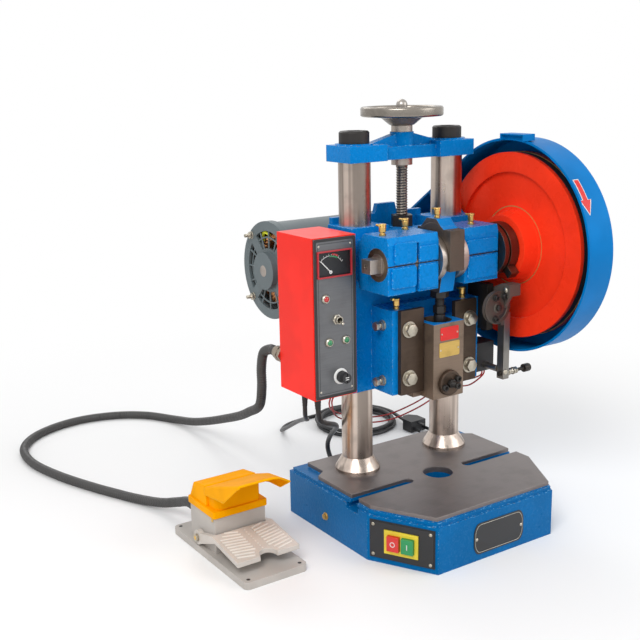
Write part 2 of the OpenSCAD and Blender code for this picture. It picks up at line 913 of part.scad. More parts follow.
// Belt guard, a pan that is open towards the head
module belt_guard() color("royalblue") {
    out_r = guard_r + guard_t;
    out_small = guard_small_r + guard_t;
    translate([guard_x, 0, 0]) along_x() linear_extrude(guard_w) difference() {
        drive_shape(out_r, out_small);
        drive_shape(guard_r, guard_small_r);
    }
    translate([guard_x + guard_w - guard_t, 0, 0]) along_x() linear_extrude(guard_t)
        drive_shape(out_r, out_small);
    translate([guard_x, 0, 0]) along_x() linear_extrude(guard_t) difference() {
        drive_shape(out_r + guard_lip, out_small + guard_lip);
        drive_shape(guard_r, guard_small_r);
    }
    translate([guard_x - guard_tab_w / 3, -guard_tab_front, crank_z + guard_r])
        difference() {
            cube([guard_tab_w, guard_tab_l, guard_t + guard_tab_h]);
            translate([-over, guard_t, -over])
                cube([guard_tab_w / 3 + over, guard_tab_l - 2 * guard_t, guard_tab_h + over]);
        }
    translate([guard_x - stay_t, 0, 0]) along_x() linear_extrude(stay_t + seat)
        polygon([[stay_y, web_top_z - stay_h], [sleeve_back, web_top_z - stay_h],
            guard_point(1, stay_far_share), guard_point(1, stay_near_share),
            [stay_y, web_top_z]]);
    span([sleeve_out, stay_y, web_top_z - stay_h], [guard_x, sleeve_back, web_top_z]);
    low = guard_point(-1, stay_low_share);
    translate([sleeve_out, 0, 0]) along_x() linear_extrude(guard_x - sleeve_out + seat)
        polygon([[stay_y, low[1] + stay_h], [sleeve_back, low[1] + stay_h], [sleeve_back, low[1]],
            low, [stay_y, low[1]]]);
}

// Motor
module on_motor() { translate([0, motor_y, motor_z]) along_x() children(); }
module motor_plate() color("royalblue") {
    span([-plate_left, sleeve_back, motor_z - plate_below],
        [plate_right, sleeve_back + plate_t, plate_top_z]);
    translate([0, sleeve_back + plate_t, 0]) rotate([90, 0, 0]) linear_extrude(plate_t)
        polygon([[-lug_left - lug_slope, plate_top_z - lug_rise], [-lug_left, plate_top_z + lug_rise],
            [lug_right, plate_top_z + lug_rise], [lug_right + lug_slope, plate_top_z - lug_rise]]);
}
module motor_housing() color("slategray") difference() {
    union() {
        translate([-motor_left, 0, 0]) on_motor() cylinder(r = motor_r, h = motor_left + motor_right);
        for (x = [-1, 1], z = [-1, 1])
            span([motor_mid_x + x * motor_foot_x - motor_foot_w / 2, sleeve_back + plate_t,
                motor_z + z * motor_foot_z - motor_foot_h / 2],
                [motor_mid_x + x * motor_foot_x + motor_foot_w / 2,
                sleeve_back + plate_t + motor_reach, motor_z + z * motor_foot_z + motor_foot_h / 2]);
    }
    translate([-motor_left - over, 0, 0]) on_motor()
        cylinder(r = motor_r - shell_t, h = motor_left + motor_right - shell_t + over);
    translate([motor_right - shell_t - over, 0, 0]) on_motor()
        cylinder(r = motor_shaft_r + run, h = shell_t + 2 * over);
}
module motor_end_cover() color("slategray") translate([-motor_left - bell_w, 0, 0]) on_motor()
    difference() {
        union() {
            difference() {
                cylinder(r = motor_r + bell_over, h = bell_w);
                translate([0, 0, bell_web_t]) cylinder(r = motor_r + bell_over - bell_rim, h = bell_w);
            }
            translate([0, 0, -bell_hub_l]) cylinder(r = bell_hub_r, h = bell_hub_l + bell_w);
        }
        for (q = [0:3]) rotate(q * 90 + 45) bell_window();
        translate([0, 0, -over - bell_hub_l])
            cylinder(r = motor_shaft_r + run, h = bell_w + bell_hub_l + 2 * over);
    }
module bell_window() difference() {
    intersection() {
        translate([0, 0, -over]) cylinder(r = motor_r - bell_rim, h = bell_w);
        translate([spoke_w / 2, spoke_w / 2, -2 * over]) cube([motor_r, motor_r, 2 * bell_w]);
    }
    translate([0, 0, -2 * over]) cylinder(r = bell_hub_r + bell_web_t, h = 2 * bell_w);
}
module motor_stator() color("dimgray") translate([-stator_left, 0, 0]) on_motor() difference() {
    cylinder(r = motor_r - shell_t - seat, h = stator_left + stator_right);
    translate([0, 0, -over]) cylinder(r = stator_in, h = stator_left + stator_right + 2 * over);
}
belt_x = fly_x + groove_in + groove_w / 2;
module motor_rotor() color("silver") {
    translate([-stator_left + rotor_trim, 0, 0]) on_motor()
        cylinder(r = stator_in - air_gap, h = stator_left + stator_right - 2 * rotor_trim);
    translate([-motor_left - bell_w - bell_hub_l, 0, 0]) on_motor()
        cylinder(r = motor_shaft_r, h = motor_left + bell_w + bell_hub_l + belt_x + pulley_w / 2);
}
module motor_pulley() color("gray") translate([belt_x - pulley_w / 2, 0, 0]) on_motor() {
    cheek = (pulley_w - groove_w) / 2;
    rotate_extrude() polygon([[motor_shaft_r + seat, 0], [pulley_r, 0], [pulley_r, cheek],
        [pulley_r - groove_d, cheek], [pulley_r - groove_d, cheek + groove_w],
        [pulley_r, cheek + groove_w], [pulley_r, pulley_w], [motor_shaft_r + seat, pulley_w]]);
}
module drive_belt() color("black") {
    big = flywheel_r - groove_d + belt_play;
    small = pulley_r - groove_d + belt_play;
    translate([belt_x - groove_w / 2 + belt_play, 0, 0]) along_x()
        linear_extrude(groove_w - 2 * belt_play) difference() {
            drive_shape(big + belt_t, small + belt_t);
            drive_shape(big, small);
        }
}
module flywheel() color("orangered") translate([0, 0, crank_z]) along_x() {
    x1 = fly_x + flywheel_w;
    web_x = fly_x + rim_step;
    step_r = flywheel_r - rim_step_r;
    in_r = journal_r + run;
    g0 = fly_x + groove_in;
    rotate_extrude($fn = 128) polygon([[in_r, hub_x], [hub_r, hub_x], [hub_foot_r, web_x],
        [step_r, web_x], [step_r, fly_x], [flywheel_r, fly_x], [flywheel_r, g0],
        [flywheel_r - groove_d, g0], [flywheel_r - groove_d, g0 + groove_w],
        [flywheel_r, g0 + groove_w], [flywheel_r, x1], [flywheel_r - rim_in, x1],
        [flywheel_r - rim_in, web_x + web_t], [hub_foot_r, web_x + web_t], [hub_foot_r, x1],
        [in_r, x1]]);
}

// Crankshaft, clutch and connecting rod
module crankshaft() color("silver") {
    half = rod_w / 2 + rod_side;
    difference() {
        union() {
            rod_x(journal_r, -block_left_x, -half, 0, crank_z);
            rod_x(journal_r, half, shaft_end_x, 0, crank_z);
            rod_x(cheek_r, -gap_left_x + face_gap, -half, 0, crank_z);
            rod_x(cheek_r, half, gap_right_x - face_gap, 0, crank_z);
            rod_x(crankpin_r, -half, half, 0, pin_z);
            span([-block_left_x - square_l, -square_w / 2, crank_z - square_w / 2],
                [-block_left_x, square_w / 2, crank_z + square_w / 2]);
        }
        rod_x(centre_r, -block_left_x - square_l - over, -block_left_x - square_l + centre_d,
            0, crank_z);
    }
}
clutch_x = block_right_x + clutch_gap;
module clutch_ring() color("gray") difference() {
    union() {
        rod_x(clutch_r, clutch_x, clutch_x + clutch_w, 0, crank_z);
        translate([clutch_x + clutch_groove_x + clutch_groove_w, 0, crank_z])
            rotate([tail_angle, 0, 0]) span([0, clutch_r - tail_t, -tail_t / 2],
                [tail_w, clutch_r + tail_out, tail_t / 2]);
    }
    rod_x(journal_r + seat, clutch_x - over, clutch_x + clutch_w + over, 0, crank_z);
    difference() {
        rod_x(clutch_r + over, clutch_x + clutch_groove_x,
            clutch_x + clutch_groove_x + clutch_groove_w, 0, crank_z);
        rod_x(clutch_r - clutch_groove_d, clutch_x, clutch_x + clutch_w, 0, crank_z);
    }
}
rod_low_z = pin_z - rod_l;
module rod_eye() {
    circle(r = crankpin_r + rod_wall);
    translate([-lug_y, -lug_h]) square([2 * lug_y, 2 * lug_h]);
}
module across_rod() {
    translate([-rod_w / 2, 0, pin_z]) along_x() linear_extrude(rod_w) children();
}
module connecting_rod() color("royalblue") difference() {
    union() {
        across_rod() difference() {
            union() {
                rod_eye();
                polygon([[-neck_top_y, -lug_h], [neck_top_y, -lug_h], [neck_low_y, -rod_l],
                    [-neck_low_y, -rod_l]]);
            }
            translate([-2 * lug_y, -split_gap / 2]) square([4 * lug_y, 2 * lug_y]);
        }
        translate([0, 0, rod_low_z]) cylinder(r = rod_end_r, h = rod_end_h);
    }
    rod_x(crankpin_r + run, -rod_w, rod_w, 0, pin_z);
    translate([0, 0, rod_low_z - over]) cylinder(r = adjust_r + seat, h = adjust_in + 2 * over);
}
module rod_cap() color("gray") difference() {
    across_rod() difference() {
        union() {
            rod_eye();
            translate([-lug_y, 0]) square([2 * lug_y, cap_lug_h]);
            polygon([[-3 * crown_y, cap_lug_h], [-crown_y, crown_h], [2 * crown_y, crown_h],
                [4 * crown_y, cap_lug_h]]);
        }
        translate([-2 * lug_y, split_gap / 2 - 2 * lug_y]) square([4 * lug_y, 2 * lug_y]);
    }
    rod_x(crankpin_r + run, -rod_w, rod_w, 0, pin_z);
}
ball_z = rod_low_z + adjust_in - adjust_l;
module adjusting_screw() color("dimgray") {
    translate([0, 0, ball_z]) cylinder(r = adjust_r, h = adjust_l);
    translate([0, 0, ball_z]) sphere(r = ball_r);
}
module rod_lock_nut() color("gray") translate([0, 0, rod_low_z - rod_nut_h]) difference() {
    cylinder(r = rod_nut_af / sqrt(3), h = rod_nut_h, $fn = 6);
    translate([0, 0, -over]) cylinder(r = adjust_r + seat, h = rod_nut_h + 2 * over);
}

// Ram and its shank clamp
module ram() color("gray") difference() {
    translate([0, 0, ram_z]) linear_extrude(ram_h) polygon(mirrored([[ram_half_w, -ram_front],
        [ram_half_w, slideway_front + run], [flange_half_w - run, slideway_front + run],
        [flange_half_w - run, ram_back]]));
    for (y = [cavity_front_y, cavity_back_y]) translate([0, y, ram_z + ram_h - cavity_depth])
        cylinder(r = cavity_r, h = cavity_depth + over);
    span([-cavity_r, cavity_front_y, ram_z + ram_h - cavity_depth],
        [cavity_r, cavity_back_y, ram_z + ram_h + over]);
    translate([0, 0, ram_z - over]) cylinder(r = shank_r, h = shank_depth + over);
    rod_y(clamp_r + seat, 0, ram_z + clamp_z, -ram_front - over, -ram_front + clamp_in);
}
module shank_clamp() color("dimgray") difference() {
    rod_y(clamp_r, 0, ram_z + clamp_z, -ram_front - clamp_front, -ram_front + clamp_in);
    shank_screw_holes(seat);
}
module shank_screw_holes(gap) {
    y0 = -ram_front - clamp_front;
    for (s = [-1, 1])
        rod_y(clamp_screw_r + gap, s * clamp_screw_x, ram_z + clamp_z, y0 - gap,
            y0 + clamp_screw_grip);
    rod_y(jam_r + gap, 0, ram_z + clamp_z, y0 - gap, y0 + clamp_front + clamp_in);
}
module shank_screws() color("black") difference() {
    y0 = -ram_front - clamp_front;
    union() {
        shank_screw_holes(0);
        for (s = [-1, 1])
            rod_y(clamp_head_r, s * clamp_screw_x, ram_z + clamp_z, y0 - clamp_head_h, y0);
        rod_y(jam_r, 0, ram_z + clamp_z, y0 - jam_l, y0 + seat);
        hex_y(jam_nut_af, 0, ram_z + clamp_z, y0 - jam_nut_h, y0);
    }
    hex_y(jam_socket, 0, ram_z + clamp_z, y0 - jam_l - over, y0 - jam_l + jam_socket);
}

// Clutch trip
module trip_bracket() color("dimgray") {
    span([slideway_half_w, -bracket_front, trip_z - bracket_low],
        [slideway_half_w + bracket_t, bracket_back, trip_z + bracket_high]);
    rod_x(trip_pin_r, slideway_half_w + bracket_t, trip_x + trip_t + face_gap, trip_y, trip_z);
    rod_x(trip_pin_head_r, trip_x + trip_t + face_gap,
        trip_x + trip_t + face_gap + trip_pin_head_t, trip_y, trip_z);
    rod_x(post_r, slideway_half_w + bracket_t, slideway_half_w + bracket_t + post_l, post_y,
        post_z);
}
lever_foot_z = trip_z - lever_foot;
module trip_lever() color("dimgray") difference() {
    union() {
        translate([trip_x, 0, 0]) along_x() linear_extrude(trip_t) difference() {
            union() {
                translate([trip_y, trip_z]) circle(r = trip_plate_r);
                polygon([[-lever_front, trip_z - lever_top], [-pawl_front, pawl_top_z - pawl_h],
                    [-pawl_front, pawl_top_z], [-pawl_back, pawl_top_z],
                    [trip_y, trip_z + trip_plate_r - over], [trip_y, trip_z]]);
            }
            intersection() {
                difference() {
                    translate([trip_y, trip_z]) circle(r = trip_slot_r + trip_slot_w / 2);
                    translate([trip_y, trip_z]) circle(r = trip_slot_r - trip_slot_w / 2);
                }
                translate([trip_y - trip_plate_r, trip_z - trip_plate_r])
                    square([trip_plate_r, trip_plate_r]);
            }
        }
        span([trip_x, -pawl_front, pawl_top_z - pawl_h],
            [trip_x + pawl_w, -pawl_back, pawl_top_z]);
        span([trip_x + trip_t, -lever_front, lever_foot_z],
            [trip_x + trip_t + lever_w, -lever_front + lever_d, trip_z - lever_top]);
        span([trip_x, -lever_front + over, trip_z - trip_plate_r],
            [trip_x + trip_t + over, -lever_front + lever_d - over, trip_z - 2 * lever_top]);
        rod_y(trip_face_r, trip_face_x, trip_z + trip_face_up, -lever_front - trip_face_t,
            -lever_front + over);
    }
    rod_x(trip_pin_r + run, trip_x - over, trip_x + trip_t + over, trip_y, trip_z);
    rod_x(adjuster_r + seat, trip_x, trip_x + 2 * lever_w + over,
        -lever_front + lever_d / 2, trip_z - adjuster_drop);
}
module lever_adjuster() color("gray") {
    x0 = trip_x + trip_t;
    y = -lever_front + lever_d / 2;
    z = trip_z - adjuster_drop;
    rod_x(adjuster_head_r, x0 - adjuster_r, x0, y, z);
    rod_x(adjuster_r, x0, x0 + lever_w + adjuster_l, y, z);
    hex_x(adjuster_nut_af, x0 + lever_w, x0 + lever_w + adjuster_nut_h, y, z);
    hex_x(adjuster_nut_af, x0 + lever_w + adjuster_nut_x,
        x0 + lever_w + adjuster_nut_x + adjuster_nut_h, y, z);
    rod_x(knob_r, x0 + lever_w + adjuster_l - knob_w, x0 + lever_w + adjuster_l, y, z);
}
solenoid_z = slideway_z + solenoid_rise;
module solenoid() color("black") difference() {
    span([slideway_half_w, solenoid_y, solenoid_z],
        [slideway_half_w + solenoid_w, solenoid_y + solenoid_d, solenoid_z + solenoid_h]);
    rod_y(plunger_r + run, plunger_x, solenoid_z + plunger_rise, solenoid_y - over,
        solenoid_y + plunger_bore);
}
module solenoid_plunger() color("silver")
    rod_y(plunger_r, plunger_x, solenoid_z + plunger_rise,
        -lever_front + lever_d + plunger_play, solenoid_y + plunger_in);

// Control box
box_x = -pad_x - box_w;
module at_box(x, z) { translate([box_x + x, box_y, box_z + z]) children(); }
module control_box() color("red") difference() {
    at_box(0, 0) cube([box_w, box_d, box_h]);
    at_box(box_t, box_t) translate([0, -over, 0])
        cube([box_w - 2 * box_t, box_d - box_t + over, box_h - 2 * box_t]);
    rod_y(gland_thread_r + seat, box_x + gland_x, box_z + gland_z, box_y + box_d - box_t - over,
        box_y + box_d + over);
}
lamp_places = [[red_lamp_x, red_lamp_z], [green_lamp_x, green_lamp_z],
    [green_lamp_x + green_lamp_gap, green_lamp_z]];
module box_panel() color("lightsteelblue") difference() {
    at_box(panel_edge, panel_edge) translate([0, -panel_t, 0])
        cube([box_w - 2 * panel_edge, panel_t, box_h - 2 * panel_edge]);
    at_box(meter_x, meter_z) translate([-meter_w / 2 - seat, -panel_t - over, -meter_h / 2 - seat])
        cube([meter_w + 2 * seat, panel_t + 2 * over, meter_h + 2 * seat]);
    for (p = lamp_places) at_box(p[0], p[1]) rod_y(lamp_r + seat, 0, 0, -panel_t - over, over);
    at_box(toggle_x, toggle_z) rod_y(toggle_bush_r + seat, 0, 0, -panel_t - over, over);
    at_box(fuse_x, fuse_z) rod_y(fuse_cap_r + seat, 0, 0, -panel_t - over, over);
}
module voltmeter() color("black") difference() {
    union() {
        at_box(meter_x, meter_z) translate([-meter_w / 2, -panel_t, -meter_h / 2])
            cube([meter_w, meter_back, meter_h]);
        at_box(meter_x, meter_z) translate([-meter_w / 2 - meter_frame, -panel_t - meter_out,
            -meter_h / 2 - meter_frame])
            cube([meter_w + 2 * meter_frame, meter_out, meter_h + 2 * meter_frame]);
    }
    difference() {
        at_box(meter_x, meter_z) translate([-dial_w / 2, -panel_t - meter_out - over, -dial_h / 2])
            cube([dial_w, dial_depth + over, dial_h]);
        at_box(needle_x, needle_z) rod_y(needle_pin_r, 0, 0, -panel_t - meter_out, dial_depth);
    }
}
module meter_needle() color("white") at_box(needle_x, needle_z)
    translate([0, -panel_t - meter_out + dial_depth - face_gap, 0]) rotate([90, 0, 0]) difference() {
        union() {
            cylinder(r = needle_hub_r, h = needle_t);
            rotate(needle_rest + 90) translate([0, -needle_w / 2, 0])
                cube([needle_l, needle_w, needle_t]);
        }
        translate([0, 0, -over]) cylinder(r = needle_pin_r + run, h = needle_t + 2 * over);
    }
module panel_fittings() color("silver") {
    for (p = lamp_places) at_box(p[0], p[1]) {
        rod_y(lamp_r, 0, 0, -panel_t, lamp_in);
        rod_y(lamp_head_r, 0, 0, -panel_t - lamp_out, -panel_t);
    }
    at_box(toggle_x, toggle_z) difference() {
        union() {
            rod_y(toggle_bush_r, 0, 0, -panel_t - toggle_out, 0);
            span([-toggle_body / 2, 0, -toggle_body / 2],
                [toggle_body / 2, toggle_body, toggle_body / 2]);
        }
        rod_y(toggle_bore_r, 0, 0, -panel_t - toggle_out - over, toggle_bore_r);
    }
    at_box(fuse_x, fuse_z) difference() {
        union() {
            rod_y(fuse_r, 0, 0, -panel_t - fuse_out, -panel_t);
            rod_y(fuse_cap_r, 0, 0, -panel_t, fuse_in);
        }
        rod_y(fuse_stem_r + run, 0, 0, -panel_t - fuse_out - over, fuse_stem_l);
    }
}
module toggle_lever() color("silver") at_box(toggle_x, toggle_z) rotate([toggle_tilt, 0, 0]) {
    sphere(r = toggle_ball_r);
    rod_x(toggle_pin_r, -toggle_pin_l / 2, toggle_pin_l / 2, 0, 0);
    rod_y(toggle_r, 0, 0, -toggle_l, 0);
    translate([0, -toggle_l, 0]) sphere(r = toggle_tip_r);
}
module fuse_cap() color("dimgray") at_box(fuse_x, fuse_z) difference() {
    y0 = -panel_t - fuse_out - run;
    union() {
        rod_y(fuse_cap_r, 0, 0, y0 - fuse_cap_l, y0);
        rod_y(fuse_stem_r, 0, 0, y0 - over, y0 + fuse_stem_l);
    }
    span([-fuse_slot_w / 2, y0 - fuse_cap_l - over, -fuse_cap_r],
        [fuse_slot_w / 2, y0 - fuse_cap_l + fuse_slot_d, fuse_cap_r]);
}
gland_y = box_y + box_d;
module conduit_gland() color("tan") difference() {
    x = box_x + gland_x;
    z = box_z + gland_z;
    union() {
        rod_y(gland_thread_r, x, z, gland_y - box_t - gland_in, gland_y + over);
        hex_y(gland_af, x, z, gland_y, gland_y + gland_nut_l);
        rod_y(gland_r, x, z, gland_y + gland_nut_l, gland_y + gland_l);
    }
    rod_y(gland_bore_r, x, z, gland_y - box_t - gland_in - over, gland_y + gland_l + over);
}

// Start and stop switch on the chamfer of the base
chamfer_a = [-front_half_w - corner_share * step_out, -table_front - step_out];
chamfer_b = [-table_half_w - step_out, table_corner_y];
module on_chamfer() {
    mid = (chamfer_a + chamfer_b) / 2;
    run_dir = chamfer_a - chamfer_b;
    translate([mid[0], mid[1], 0]) rotate([0, 0, atan2(run_dir[1], run_dir[0])]) children();
}
module switch_plate() color("black") on_chamfer() difference() {
    union() {
        span([-switch_w / 2, -plate_out + plate_cham, switch_mid_z - switch_h / 2],
            [switch_w / 2, 0, switch_mid_z + switch_h / 2]);
        span([-switch_w / 2 + plate_cham, -plate_out, switch_mid_z - switch_h / 2 + plate_cham],
            [switch_w / 2 - plate_cham, 0, switch_mid_z + switch_h / 2 - plate_cham]);
    }
    span([-bezel_body_w / 2 - seat, -plate_out - over, switch_mid_z - bezel_body_h / 2 - seat],
        [bezel_body_w / 2 + seat, over, switch_mid_z + bezel_body_h / 2 + seat]);
}
module button_places() {
    for (s = [-1, 1]) translate([s * (button_w + button_gap) / 2, 0, switch_mid_z]) children();
}
module switch_bezel() color("yellow") on_chamfer() difference() {
    union() {
        span([-bezel_w / 2, -plate_out - bezel_out, switch_mid_z - bezel_h / 2],
            [bezel_w / 2, -plate_out, switch_mid_z + bezel_h / 2]);
        span([-bezel_body_w / 2, -plate_out, switch_mid_z - bezel_body_h / 2],
            [bezel_body_w / 2, bezel_in, switch_mid_z + bezel_body_h / 2]);
    }
    button_places() translate([-button_w / 2, -plate_out - bezel_out - over, -button_h / 2])
        cube([button_w, button_well + over, button_h]);
}
module push_button(side) on_chamfer()
    translate([side * (button_w + button_gap) / 2 - button_w / 2 + button_play,
        -plate_out - bezel_out - button_out, switch_mid_z - button_h / 2 + button_play])
        cube([button_w - 2 * button_play, button_out + button_in, button_h - 2 * button_play]);
module start_button() color("green") push_button(1);
module stop_button() color("tomato") push_button(-1);

// Foot pedal
house_x0 = pedal_x - house_w / 2;
house_x1 = pedal_x + house_w / 2;
house_top = pedal_t + house_h;
module pedal_rect(r) {
    x0 = pedal_x - pedal_w / 2;
    translate([x0 + r, pedal_y]) square([pedal_w - 2 * r, pedal_l]);
    translate([x0, pedal_y + r]) square([pedal_w, pedal_l - 2 * r]);
    for (x = [x0 + r, x0 + pedal_w - r], y = [pedal_y + r, pedal_y + pedal_l - r])
        translate([x, y]) circle(r = r);
}
module pedal_base() color("lightgray") difference() {
    union() {
        linear_extrude(pedal_t) pedal_rect(pedal_corner);
        span([house_x0, house_front, 0], [house_x1, house_front + house_l, house_top]);
        rod_y(ferrule_r, ferrule_x, ferrule_z, house_front + house_l - over,
            house_front + house_l + ferrule_l);
    }
    span([house_x0 + house_t, house_front + house_t, pedal_t],
        [house_x1 - house_t, house_front + house_l - house_t, house_top + over]);
    rod_y(ferrule_bore_r, ferrule_x, ferrule_z, house_front + house_l - house_t - over,
        house_front + house_l + ferrule_l + over);
    rod_x(pedal_pin_r + seat, house_x0 - over, house_x1 + over, pedal_pivot_y, pedal_pivot_z);
}
module side_shape(x0, x1) {
    translate([x0, 0, 0]) along_x() linear_extrude(x1 - x0) children();
}
module pedal_hood() color("gold") {
    back = house_front + house_l;
    lip_z = house_top + lip_h;
    slope = (visor_front_z - house_top - hood_top) / (hood_top_y - visor_front);
    front_z = house_top + hood_top + slope * (hood_top_y - house_front);
    difference() {
        union() {
            span([house_x0 - lip_out, house_front - lip_out, house_top],
                [house_x1 + lip_out, back + lip_out, lip_z]);
            side_shape(house_x0, house_x1) polygon([[house_front, house_top], [back, house_top],
                [back, lip_z], [hood_back_y, house_top + hood_back + lip_h],
                [hood_top_y, house_top + hood_top], [house_front, front_z]]);
        }
        side_shape(house_x0 + hood_t, house_x1 - hood_t) polygon([
            [house_front + hood_t, house_top - over], [back - hood_t, house_top - over],
            [back - hood_t, lip_z], [hood_back_y - hood_t, house_top + hood_back + lip_h - hood_t],
            [hood_top_y, house_top + hood_top - hood_t], [house_front + hood_t, front_z - hood_t]]);
    }
    side_shape(house_x0 - visor_out, house_x1 + visor_out) polygon([
        [hood_top_y, house_top + hood_top - hood_t], [hood_top_y, house_top + hood_top],
        [visor_front, visor_front_z], [visor_front, visor_front_z - hood_t]]);
    for (x = [house_x0 - visor_out, house_x1 + visor_out - hood_t]) side_shape(x, x + hood_t)
        polygon([[hood_top_y, house_top + hood_top], [visor_front, visor_front_z],
            [wing_front_y, wing_front_z], [wing_low_y, wing_low_z], [hood_top_y, wing_low_z]]);
    for (x = [house_x0 - visor_out, house_x1 - hood_t]) side_shape(x, x + hood_t + visor_out)
        polygon([[house_front + hood_t, wing_low_z], [hood_top_y, wing_low_z],
            [hood_top_y, wing_low_z + hood_t], [house_front + hood_t, wing_low_z + hood_t]]);
}
arm_x0 = house_x0 - arm_gap - arm_w;
arm_x1 = house_x1 + arm_gap + arm_w;
module treadle() color("lightgray") {
    rise = treadle_back_z + treadle_t;
    difference() {
        union() {
            side_shape(arm_x0, arm_x1) polygon([[treadle_front, treadle_front_z],
                [treadle_back, treadle_back_z], [treadle_back, rise],
                [treadle_front, treadle_front_z + treadle_t]]);
            for (x = [arm_x0, arm_x1 - arm_w]) side_shape(x, x + arm_w) {
                translate([pedal_pivot_y, pedal_pivot_z]) circle(r = arm_r);
                polygon([[treadle_back - arm_r, treadle_back_z], [pedal_pivot_y, pedal_pivot_z - arm_r],
                    [pedal_pivot_y + arm_r / 2, pedal_pivot_z + arm_r / 2], [treadle_back, rise]]);
            }
        }
        translate([pedal_x, treadle_front, 0]) cylinder(r = treadle_toe_r, h = 2 * rise);
        rod_x(pedal_pin_r + run, arm_x0 - over, arm_x1 + over, pedal_pivot_y, pedal_pivot_z);
    }
}
module treadle_pin() color("gold") {
    rod_x(pedal_pin_r, arm_x0 - pedal_pin_r, arm_x1 + pedal_pin_r, pedal_pivot_y, pedal_pivot_z);
    for (x = [arm_x0 - pedal_pin_r, arm_x1 + face_gap])
        rod_x(pedal_pin_head, x, x + pedal_pin_r - face_gap, pedal_pivot_y, pedal_pivot_z);
}

// Cords: smooth curves through chosen points, swept by rings that keep their turn
function cat(a, b, c, d, t) = 0.5 * (2 * b + (c - a) * t + (2 * a - 5 * b + 4 * c - d) * t * t
    + (3 * b - a - 3 * c + d) * t * t * t);
function smooth(p, n) = [for (i = [0:len(p) - 2]) for (k = [0:n - 1])
    cat(p[max(i - 1, 0)], p[i], p[i + 1], p[min(i + 2, len(p) - 1)], k / n), p[len(p) - 1]];
function unit(v) = v / norm(v);
function tangents(p) = [for (i = [0:len(p) - 1])
    unit(p[min(i + 1, len(p) - 1)] - p[max(i - 1, 0)])];
function square_to(n, t) = unit(n - (n * t) * t);
function frames(t, first) = [for (i = 0, n = square_to(first, t[0]); i < len(t);
    i = i + 1, n = i < len(t) ? square_to(n, t[i]) : n) n];
function ring(c, n, t, r, m) = [for (k = [0:m - 1])
    c + r * (cos(k * 360 / m) * n + sin(k * 360 / m) * cross(t, n))];
function rings(p, r, m, first) = let (t = tangents(p), n = frames(t, first))
    [for (i = [0:len(p) - 1]) each ring(p[i], n[i], t[i], is_list(r) ? r[i] : r, m)];
function skin(count, m, from, flip) = [for (i = [0:count - 2]) for (k = [0:m - 1])
    let (a = from + i * m + k, b = from + i * m + (k + 1) % m, c = b + m, d = a + m)
    each flip ? [[a, c, d], [a, b, c]] : [[a, d, c], [a, c, b]]];
function fan(from, m, flip) = [for (k = [1:m - 2])
    flip ? [from, from + k + 1, from + k] : [from, from + k, from + k + 1]];
module cord(p, r, m, first) {
    last = (len(p) - 1) * m;
    polyhedron(points = rings(p, r, m, first),
        faces = concat(skin(len(p), m, 0, false), fan(0, m, false), fan(last, m, true)));
}
gland_end = [box_x + gland_x, gland_y + gland_l + face_gap, box_z + gland_z];
ferrule_end = [ferrule_x, house_front + house_l + ferrule_l, ferrule_z];
conduit_route = [gland_end, gland_end + [0, conduit_d / 2, 0], gland_end + [0, conduit_d, 0],
    gland_end + [1, 40, -11], gland_end + [3, 52, -39],
    [-190, 206, 205], [-179, 235, 165], [-165, 295, 135], [-148, 361, 106], [-131, 450, 72],
    [-121, 533, 42], [-120, 605, 20], [-130, 670, 9], [-164, 730, 8], [-215, 768, 8],
    [-280, 784, 8], [-345, 772, 8], [-400, 738, 8], [-434, 685, 8], [-442, 610, 8],
    [-425, 525, 8], [-395, 440, 8], [-362, 365, 8], [-336, 300, 14], [-326, 250, 30],
    [-325, 215, 43], ferrule_end + [0, conduit_d, 0], ferrule_end];
// The ribs are a zigzag of radius on evenly spaced rings
function lengths(p) = [for (i = 0, s = 0; i < len(p); s = i < len(p) - 1
    ? s + norm(p[i + 1] - p[i]) : s, i = i + 1) s];
function at_length(p, s, want, i) = s[i + 1] >= want || i >= len(p) - 2
    ? p[i] + (p[i + 1] - p[i]) * (want - s[i]) / (s[i + 1] - s[i])
    : at_length(p, s, want, i + 1);
function even(p, n) = let (s = lengths(p), whole = s[len(s) - 1])
    [for (k = [0:n]) at_length(p, s, whole * k / n, floor((len(p) - 2) * max(0, k / n - 0.1)))];
module foot_conduit() color("dimgray") {
    n = 2 * hose_ribs;
    p = even(smooth(conduit_route, 8), n);
    r = conduit_d / 2;
    out = [for (i = [0:n]) i % 2 == 0 ? r * hose_rib_share : r];
    outer = rings(p, out, cord_sides, [1, 0, 0]);
    coarse = [for (i = [0:4:n]) p[i]];
    inner = rings(coarse, r * hose_bore_share, cord_sides, [1, 0, 0]);
    o = len(outer);
    last_o = n * cord_sides;
    last_i = o + (len(coarse) - 1) * cord_sides;
    polyhedron(points = concat(outer, inner), faces = concat(skin(n + 1, cord_sides, 0, false),
        skin(len(coarse), cord_sides, o, true), hem(0, o, false), hem(last_o, last_i, true)));
}
function hem(a, b, flip) = [for (k = [0:cord_sides - 1]) let (j = (k + 1) % cord_sides)
    each flip ? [[a + k, b + k, b + j], [a + k, b + j, a + j]]
        : [[a + k, a + j, b + j], [a + k, b + j, b + k]]];
mains_exit = [box_x + mains_x, box_y + mains_y, box_z];
coil_in = coil_start - 360 * (2 * coil_turns_in + coil_turns_climb);
function coil_point(k) = let (turn = k / coil_steps, back = turn - coil_turns_in - coil_turns_climb,
    r = turn < coil_turns_in ? coil_r - coil_pitch * turn
        : back < 0 ? coil_r - coil_pitch * coil_turns_in
        : coil_r - coil_pitch * (coil_turns_in - back),
    up = turn < coil_turns_in ? 0 : back > 0 ? 1
        : (1 - cos(180 * (turn - coil_turns_in) / coil_turns_climb)) / 2,
    a = coil_start - 360 * turn)
    [coil_x + r * cos(a), coil_y + r * sin(a), mains_d / 2 + coil_pitch * up];
coil_count = coil_steps * (2 * coil_turns_in + coil_turns_climb);
coil_path = concat([coil_point(0) - [mains_d, 0, 0]], [for (k = [0:coil_count]) coil_point(k)],
    [coil_point(coil_count) - [0, mains_d, 0]]);
